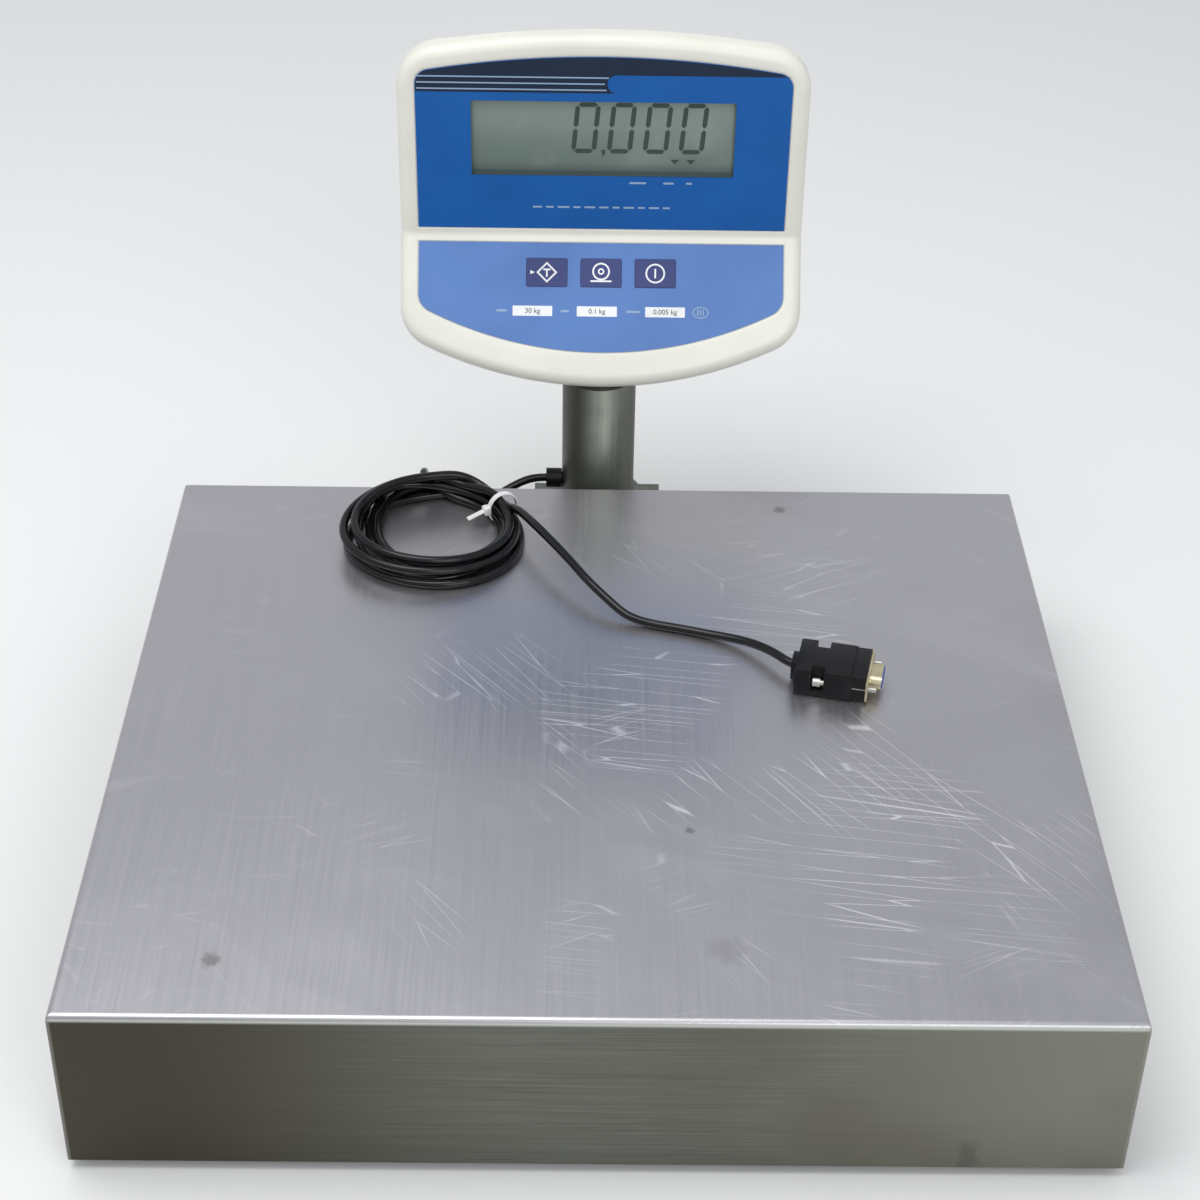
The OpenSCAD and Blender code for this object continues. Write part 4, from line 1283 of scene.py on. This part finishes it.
# ---------------------------------------------------------------- platform and column


@dataclass
class Platter:
    """The folded stainless platter."""

    low: Vector
    high: Vector
    sheet: float = 0.0015
    fold: float = 0.003
    corner: float = 0.0009
    notch: float = 0.092
    notch_top: float = 0.055

    def outline(self, by: float, height: float) -> list[Vector]:
        """The platter's outline, moved inwards, at one height."""
        corner = max(self.corner - by, 0.0003)
        loop = rounded(self.low.x + by, self.low.y + by, self.high.x - by, self.high.y - by, corner, 4)
        return [Vector((x, y, height)) for x, y in loop]

    @staticmethod
    def skin(outside: Sequence[Sequence[Vector]], inside: Sequence[Sequence[Vector]]) -> bpy.types.Mesh:
        """A closed sheet between an outer and an inner pan.

        Args:
            outside: the outer pan's rows, from the open edge to the deck.
            inside: the inner pan's rows, likewise.

        Returns:
            The mesh.
        """
        work = bmesh.new()
        pans = [[[work.verts.new(p) for p in row] for row in rows] for rows in (outside, inside)]
        count = len(outside[0])
        strips = [list(zip(rows, rows[1:])) for rows in pans]
        for here, there in strips[0] + strips[1] + [(pans[0][0], pans[1][0])]:
            for j in range(count):
                k = (j + 1) % count
                work.faces.new((here[j], here[k], there[k], there[j]))
        for rows in pans:
            work.faces.new(rows[-1])
        bmesh.ops.recalc_face_normals(work, faces=work.faces)
        made = bpy.data.meshes.new("sheet")
        work.to_mesh(made)
        work.free()
        return made

    def shell(self) -> bpy.types.Mesh:
        """The sheet, folded on four sides, with the notch for the column's arm."""
        rows = [self.outline(0.0, self.low.z)]
        turn = [math.pi / 2 * k / 7 for k in range(8)]
        outer, inner = self.fold, self.fold - self.sheet
        top, under_top = self.high.z, self.high.z - self.sheet
        rows += [self.outline(outer * (1 - math.cos(a)), top - outer * (1 - math.sin(a))) for a in turn]
        under = [
            self.outline(self.sheet + inner * (1 - math.cos(a)), under_top - inner * (1 - math.sin(a)))
            for a in turn
        ]
        under.insert(0, self.outline(self.sheet, self.low.z))
        made = join("platter_shell", (self.skin(rows, under),))
        cutter_mesh = block(
            (self.notch, 0.02, 2 * (self.notch_top - self.low.z)), (0, self.high.y, self.low.z), 0.0005
        )
        cutter = bpy.data.objects.new("notch", cutter_mesh)
        bpy.context.scene.collection.objects.link(cutter)

        def dress(holder: bpy.types.Object) -> None:
            """Cuts the notch."""
            cut = holder.modifiers.new("notch", "BOOLEAN")
            cut.operation = "DIFFERENCE"
            cut.solver = "EXACT"
            cut.object = cutter

        made = baked(made, dress)
        bpy.data.objects.remove(cutter)
        bpy.data.meshes.remove(cutter_mesh)
        return made

    def build(self) -> None:
        """Makes the platter."""
        steel = PlatterSteel("platter_steel", self.high.z, self.high.y, self.low.y, self.high.x)
        paint = steel.material()
        made = piece("platter_shell", self.shell(), paint, "weighing_platter", "platter_steel", 40)
        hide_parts("platter")


@dataclass
class Column:
    """The column with its fork, pivot and the arm that carries it."""

    wall: float = 0.0015

    def tube(self) -> bpy.types.Mesh:
        """The column tube with broken ends."""
        low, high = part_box("column")
        radius = (high.x - low.x) / 2
        place = Matrix.Translation(((low.x + high.x) / 2, (low.y + high.y) / 2, 0))
        end = 0.0004
        tube = turned("tube", [
            (radius - end, low.z), (radius, low.z + end), (radius, high.z - end), (radius - end, high.z),
            (radius - self.wall + end, high.z), (radius - self.wall, high.z - end),
            (radius - self.wall, low.z + end), (radius - self.wall + end, low.z),
        ], place, 96)
        return tube

    def nut(self) -> bpy.types.Mesh:
        """The hand nut on the pivot bolt, with its ribs."""
        low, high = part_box("pivot_nut")
        mid = (low + high) / 2
        place = Matrix.Translation((low.x, mid.y, mid.z)) @ Matrix.Rotation(math.pi / 2, 4, "Y")
        reach, bore, deep = (high.y - low.y) / 2 - 0.0006, 0.00405, high.x - low.x
        body = turned("nut", [
            (bore, 0.0), (reach - 0.0015, 0.0), (reach, 0.0008), (reach, deep - 0.0015),
            (reach - 0.0015, deep), (bore + 0.001, deep), (bore, deep - 0.0006),
        ], place, 48)
        rib = block((0.0012, 0.0008, deep - 0.003), (0, 0, 0), 0.0003)
        ribs = Repeat(Layout.RING, 26, reach).build(
            rib, place @ Matrix.Translation((0, 0, deep / 2)), Paint.ZINC.material
        )
        return join("nut", (body, ribs))

    def build(self) -> None:
        """Makes the column's pieces."""
        low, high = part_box("column")
        steel = RoundSteel("column_tube_steel", (high.x - low.x) / 2)
        tube = piece("column_tube", self.tube(), steel.material(), "base", "column_steel")
        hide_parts("column")
        nut = piece("pivot_hand_nut", self.nut(), Paint.ZINC.material, "base", "zinc")
        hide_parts("pivot_nut")
        for node, paint, slot in (
            ("column_fork", Paint.GLOSS_BLACK, "black_paint"),
            ("column_arm", Paint.COLUMN, "column_steel"),
        ):
            made = piece(node + "_shape", softened(node, 0.0008), paint.material, "base", slot)
            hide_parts(node)


# ---------------------------------------------------------------- indicator


@dataclass
class Indicator:
    """The tilting head: bezel, cover, printed films, display and keys."""

    front: Front
    outer: Arched
    film: Arched
    depth: float = 0.013
    round_by: float = 0.0065
    wall: float = 0.0025
    recess: float = 0.0007
    bar: float = 0.0043
    window: tuple[float, float, float, float] = (-0.076, 0.038, 0.076, 0.084)
    key: Point = (0.024, 0.0166)
    key_pitch: float = 0.032
    key_row: float = -0.022
    print_top: float = 0.00003
    print_low: float = 0.0001
    body: str = "indicator"

    def half_film(self, above: bool, grow: float = 0.0) -> Loop:
        """The outline of the upper or the lower film.

        Args:
            above: whether the upper film is wanted.
            grow: how far the outline is moved outwards.

        Returns:
            The loop.
        """
        edge = self.bar - grow
        loop = self.film.inset(-grow).loop()
        kept = [(x, v) for x, v in loop if (v > edge if above else v < -edge)]
        if above:
            turn = next(i for i, (x, v) in enumerate(kept) if x < 0)
            side = self.film.half + grow
            ends = [(side, edge), (-side, edge)]
            right = [p for p in kept[:turn] if p[0] >= 0]
            return right + ends + kept[len(right):]
        side = self.film.half + grow
        return [(side, -edge)] + kept + [(-side, -edge)]

    def keys(self, grow: float) -> list[Loop]:
        """The three key outlines, grown by a clearance."""
        w, h, corner = self.key[0] / 2 + grow, self.key[1] / 2 + grow, 0.0012
        middles = [i * self.key_pitch for i in (-1, 0, 1)]
        return [rounded(x - w, self.key_row - h, x + w, self.key_row + h, corner) for x in middles]

    def rim(self) -> bpy.types.Mesh:
        """The bezel's rim: side wall, round edge, face and the small lip round the films."""
        rows = [self.front.ring(self.outer.loop(), t) for t in (self.depth, self.round_by)]
        for k in range(1, 9):
            a = math.pi / 2 * k / 8
            by = self.round_by * (1 - math.cos(a))
            rows.append(self.front.ring(self.outer.inset(by).loop(), self.round_by * (1 - math.sin(a))))
        edge, lip = self.outer.inset(self.round_by).loop(), self.film.inset(-0.0012).loop()
        for share in (0.45, 1.0):
            mid = [(a[0] + (b[0] - a[0]) * share, a[1] + (b[1] - a[1]) * share) for a, b in zip(edge, lip)]
            rows.append(self.front.ring(mid, 0.0))
        for by, t in ((-0.0006, 0.0002), (-0.0003, 0.0005), (-0.0002, self.recess), (-0.0002, self.wall)):
            rows.append(self.front.ring(self.film.inset(by).loop(), t))
        inner = self.outer.inset(self.wall)
        rows.append(self.front.ring(self.outer.inset(self.round_by).loop(), self.wall + 0.0006))
        rows.append(self.front.ring(inner.loop(), self.round_by))
        rows.append(self.front.ring(inner.loop(), self.depth))
        return loft("rim", rows)

    def cross_bar(self) -> bpy.types.Mesh:
        """The rounded bar along the bend, between the two films."""
        side = self.film.half + 0.0008
        edge, lip = self.bar - 0.0002, 0.0009
        profile = [(edge, self.recess + 0.0004), (edge, 0.0005)]
        profile += [(edge - lip * 0.4, 0.0001), (edge - lip, 0.0)]
        profile += [(edge * (1 - k / 3) * 0.7, 0.0) for k in range(1, 6)]
        profile += [(-v, t) for v, t in profile[3::-1]]
        profile += [(-edge, self.wall), (edge, self.wall)]
        rows = [[self.front.at(side * (k / 12 - 1), v, t) for v, t in profile] for k in range(25)]
        return loft("bar", rows, closed=False)

    def shell(self) -> bpy.types.Mesh:
        """The whole bezel."""
        window = rounded(*self._grown(self.window, 0.001), 0.0015)
        overlap, key_gap = 0.0006, 0.0003
        upper = self.front.plate([self.half_film(True, overlap), window], self.recess, self.wall)
        lower_loops = [self.half_film(False, overlap), *self.keys(key_gap)]
        lower = self.front.plate(lower_loops, self.recess, self.wall)
        return join("bezel_shell", (self.rim(), self.cross_bar(), upper, lower))

    @staticmethod
    def _grown(box: Sequence[float], by: float) -> tuple[float, float, float, float]:
        """A rectangle grown on all sides."""
        return box[0] - by, box[1] - by, box[2] + by, box[3] + by

    def ink(self, name: str, loops: Sequence[Sequence[Loop]], paint: Paint, slot: str) -> None:
        """Lays printed marks on the films.

        Args:
            name: the piece's name.
            loops: one list of outlines for each mark.
            paint: the ink.
            slot: the record's slot; not used.
        """
        marks = [self.front.plate(group, self.print_top, self.print_low) for group in loops]
        piece(name, join(name, marks), paint.material, self.body, slot)

    def films(self) -> None:
        """The two printed films, open over the display and the keys."""
        film_top, film_low, clear = 0.0001, 0.0006, 0.0001
        for node, paint, loops in (
            ("upper_label", Paint.UPPER, [self.half_film(True, -clear), rounded(*self.window, 0.001)]),
            ("lower_label", Paint.LOWER, [self.half_film(False, -clear), *self.keys(2 * clear)]),
        ):
            sheet = self.front.plate(loops, film_top, film_low)
            slot = node.replace("label", "film")
            made = piece(node + "_sheet", sheet, paint.material, self.body, slot)
            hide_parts(node)

    def upper_print(self) -> None:
        """The dark band along the top, with its round-ended step, and the three fine lines."""
        film = self.film.inset(0.0004)
        step_x, low_v, high_v = 0.0075, 0.0892, 0.1002
        arc = [p for p in film.loop() if p[1] > high_v]
        right = [p for p in arc if p[0] >= 0]
        left = [p for p in film.loop() if p[0] < 0 and p[1] > low_v]
        reach, mid = (high_v - low_v) / 2, (high_v + low_v) / 2
        turn = [math.radians(90 + 180 * k / 14) for k in range(15)]
        nose = [(step_x + reach * math.cos(a), mid + reach * math.sin(a)) for a in turn]
        band = right + [(film.half, high_v)] + nose + [(-film.half, low_v)] + left
        self.ink("dark_band", [[band]], Paint.NAVY, "upper_film")
        rows = []
        for v, end in ((0.0985, 0.0028), (0.0948, 0.0006), (0.0911, 0.0016)):
            loop = rounded(-film.half + 0.0006, v - 0.0004, end, v + 0.0004, 0.0003, 2)
            rows.append([[(x, w - 0.00001) for x, w in loop]])
        marks = [self.front.plate(group, -0.00001, self.print_top) for group in rows]
        piece("fine_lines", join("fine_lines", marks), Paint.PALE.material, self.body, "upper_film")

    def captions(self) -> None:
        """Plain dashes under the display and beside the value fields, in place of words."""
        under = [(0.0206, 0.0098), (0.0385, 0.0062), (0.0505, 0.0036)]
        marks = [[rounded(x - w / 2, 0.0334, x + w / 2, 0.0346, 0.0005, 2)] for x, w in under]
        spread = random.Random(7)
        x = -0.0405
        while x < 0.040:
            wide = spread.uniform(0.004, 0.0085)
            marks.append([rounded(x, 0.0177, x + wide, 0.0188, 0.0004, 2)])
            x += wide + 0.0022
        for x, w in ((-0.0585, 0.0064), (-0.0212, 0.0052), (0.0190, 0.0082)):
            marks.append([rounded(x - w / 2, -0.0454, x + w / 2, -0.0441, 0.0005, 2)])
        self.ink("captions", marks, Paint.PALE, "lower_film")
        ring = [disc(0.059, -0.0448, 0.0048, 0.0035), disc(0.059, -0.0448, 0.0041, 0.0028)]
        bars = [[stroke(0.059 + d, -0.0466, 0.059 + d, -0.0430, 0.0007)] for d in (-0.0016, 0.0, 0.0016)]
        self.ink("class_mark", [ring, *bars], Paint.PALE, "lower_film")

    def values(self) -> None:
        """The white fields and the figures in them."""
        fields = ((-0.0520, -0.0286, "30 kg"), (-0.0141, 0.0096, "0.1 kg"), (0.0263, 0.0498, "0.005 kg"))
        low, high = -0.0478, -0.0418
        boxes = [[rounded(a, low, b, high, 0.0003, 2)] for a, b, _ in fields]
        self.ink("value_fields", boxes, Paint.WHITE, "lower_film")
        figures = [
            self.front.words(text, (a + b) / 2, (low + high) / 2, 0.0030, -0.00002, self.print_top)
            for a, b, text in fields
        ]
        piece("value_figures", join("figures", figures), Paint.INK.material, self.body, "lower_film")

    def icons(self) -> None:
        """The key symbols: tare, zero and power."""
        v, top = self.key_row, -0.0003
        line = 0.0010

        def lay(name: str, groups: Sequence[Sequence[Loop]], body: str) -> None:
            """Prints one key's symbol."""
            marks = [self.front.plate(group, top - 0.00008, top) for group in groups]
            piece(name, join(name, marks), Paint.WHITE.material, body, "key_film")

        x, r = -self.key_pitch, 0.0062
        outer = [(x - r, v), (x, v + r), (x + r, v), (x, v - r)]
        hole = r - 1.45 * line
        inner = [(x - hole, v), (x, v + hole), (x + hole, v), (x, v - hole)]
        tee = [[stroke(x - 0.0021, v + 0.0017, x + 0.0021, v + 0.0017, line)],
               [stroke(x, v + 0.0013, x, v - 0.0027, line)]]
        arrow = [[(x - 0.0098, v - 0.0012), (x - 0.0098, v + 0.0012), (x - 0.0070, v)]]
        lay("tare_symbol", [[outer, inner], *tee, arrow], "tare_button")
        ring = [disc(0, v + 0.0008, 0.0052), disc(0, v + 0.0008, 0.0052 - line)]
        dot = [disc(0, v + 0.0008, 0.0019), disc(0, v + 0.0008, 0.0010)]
        base = [stroke(-0.0062, v - 0.0049, 0.0062, v - 0.0049, line)]
        lay("zero_symbol", [ring, dot, base], "zero_button")
        x = self.key_pitch
        ring = [disc(x, v, 0.0058), disc(x, v, 0.0058 - line)]
        lay("power_symbol", [ring, [stroke(x, v - 0.0028, x, v + 0.0028, line)]], "power_button")

    def digit(self, x: float, base: float, shown: str) -> list[list[Loop]]:
        """One seven-segment digit.

        Args:
            x: its left edge.
            base: its foot.
            shown: the segments that are dark, "a" to "g".

        Returns:
            One list of outlines for each segment.
        """
        wide, tall, bar, gap = 0.0118, 0.0285, 0.0027, 0.0005
        lean = math.tan(math.radians(5))
        half = tall / 2
        ends = {
            "a": (0, tall, wide, tall), "g": (0, half, wide, half), "d": (0, 0, wide, 0),
            "f": (0, half, 0, tall), "b": (wide, half, wide, tall),
            "e": (0, 0, 0, half), "c": (wide, 0, wide, half),
        }
        made = []
        for name in shown:
            x0, v0, x1, v1 = ends[name]
            far, b = math.hypot(x1 - x0, v1 - v0), bar / 2
            near, end = gap + b, far - gap - b
            flat = [(gap, 0), (near, b), (end, b), (far - gap, 0), (end, -b), (near, -b)]
            if v0 == v1:
                loop = [(x0 + p, v0 + q) for p, q in flat]
            else:
                loop = [(x0 - q, v0 + p) for p, q in flat]
            made.append([[(x + p + q * lean, base + q) for p, q in loop]])
        return made

    def display(self) -> None:
        """The glass, its dark segments and the two arrows."""
        low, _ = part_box("lcd_glass")
        bend = self.front.bend_z
        paint = Panel("display_panel", bend + self.window[1], bend + self.window[3]).material()
        glass = piece("display_glass", softened("lcd_glass", 0.0004), paint, self.body, "display_glass")
        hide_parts("lcd_glass")
        top = low.y - self.front.face_y
        groups = []
        for x in (-0.0171, 0.0036, 0.0244, 0.0451):
            groups += self.digit(x, 0.0527, "abcdef")
        comma = [(-0.0012, 0.0535), (0.0012, 0.0535), (0.0014, 0.0512), (-0.0006, 0.0488), (-0.0002, 0.0512)]
        groups.append([comma])
        for x in (0.0418, 0.0512):
            groups.append([[(x - 0.0026, 0.0478), (x + 0.0026, 0.0478), (x, 0.0450)]])
        marks = [self.front.plate(group, top - 0.00012, top - 0.00002) for group in groups]
        dark = Paint.SEGMENT.material
        piece("display_segments", join("segments", marks), dark, self.body, "display_glass")

    def covers(self) -> None:
        """The rear cover, its lug and the power inlet."""
        for node, width, paint, slot in (
            ("rear_cover", 0.0028, Paint.CREAM, "cream_plastic"),
            ("pivot_lug", 0.001, Paint.CREAM, "cream_plastic"),
            ("power_inlet", 0.0004, Paint.BLACK, "black_plastic"),
        ):
            made = piece(node + "_shape", softened(node, width, 4, 24), paint.material, self.body, slot)
            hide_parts(node)

    def build(self) -> None:
        """Makes every piece of the indicator."""
        made = piece("bezel_shell", self.shell(), Paint.CREAM.material, self.body, "cream_plastic", 40)
        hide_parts("bezel")
        self.films()
        self.upper_print()
        self.captions()
        self.values()
        self.icons()
        self.display()
        self.covers()


# ---------------------------------------------------------------- plug and plain parts


@dataclass
class Plug:
    """The moulded hood of the cable's plug."""

    def build(self) -> bpy.types.Object:
        """Makes the hood.

        Returns:
            The hood.
        """
        hood = piece("plug_hood_shape", softened("plug_hood", 0.0007, 2), Paint.BLACK.material,
                     "weighing_platter", "black_plastic")
        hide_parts("plug_hood")
        return hood


@dataclass
class PlainParts:
    """CAD parts that keep their own shape and only need a finish."""

    finishes: dict[str, Paint] = field(default_factory=lambda: {
        "bumpers": Paint.RUBBER, "foot_pad": Paint.RUBBER, "load_frame": Paint.FRAME, "base_": Paint.FRAME,
        "load_cell": Paint.ALLOY, "column_plate": Paint.COLUMN, "level_vial": Paint.VIAL,
        "cable_gland": Paint.BLACK, "upper_label": Paint.UPPER, "lower_label": Paint.LOWER,
        "lcd_carrier": Paint.BLACK, "main_board": Paint.BOARD, "key_board": Paint.BOARD,
        "key_domes": Paint.ZINC, "key_": Paint.KEY, "plug_shell": Paint.GOLD,
        "plug_insert": Paint.PLUG_BLUE,
    })

    def paint_for(self, node: str) -> Paint:
        """The finish of a node, by the longest name that fits it."""
        fitting = [k for k in self.finishes if node.startswith(k)]
        return self.finishes[max(fitting, key=len)] if fitting else Paint.ZINC

    def build(self) -> None:
        """Dresses every CAD node."""
        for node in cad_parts:
            item = bpy.data.objects[node]
            paint = self.paint_for(node).material
            if not item.material_slots:
                item.data.materials.append(paint)
            for holder in item.material_slots:
                holder.link = "OBJECT"
                holder.material = paint
        LOG.info("dressed %d CAD parts", len(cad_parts))


def main() -> None:
    """Builds the view, the light and every sub-assembly."""
    logging.basicConfig(level=logging.INFO, format="%(name)s: %(message)s")
    studio = Studio()
    studio.camera()
    low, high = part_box("platter")
    Cable(high.z, (low.y + high.y) / 2).build(Plug().build())
    Platter(low, high).build()
    film_low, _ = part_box("upper_label")
    front = Front(film_low.y - 0.0001, film_low.z - 0.0043, math.radians(35))
    outer = Arched(0.1185, 0.1225, 0.600, 0.025, 0.088, 0.247, 0.025)
    film = Arched(0.1078, 0.111, 0.585, 0.009, 0.069, 0.231, 0.0115)
    Indicator(front, outer, film).build()
    Column().build()
    PlainParts().build()
    studio.ground()
    studio.light()


if __name__ == "__main__":
    main()
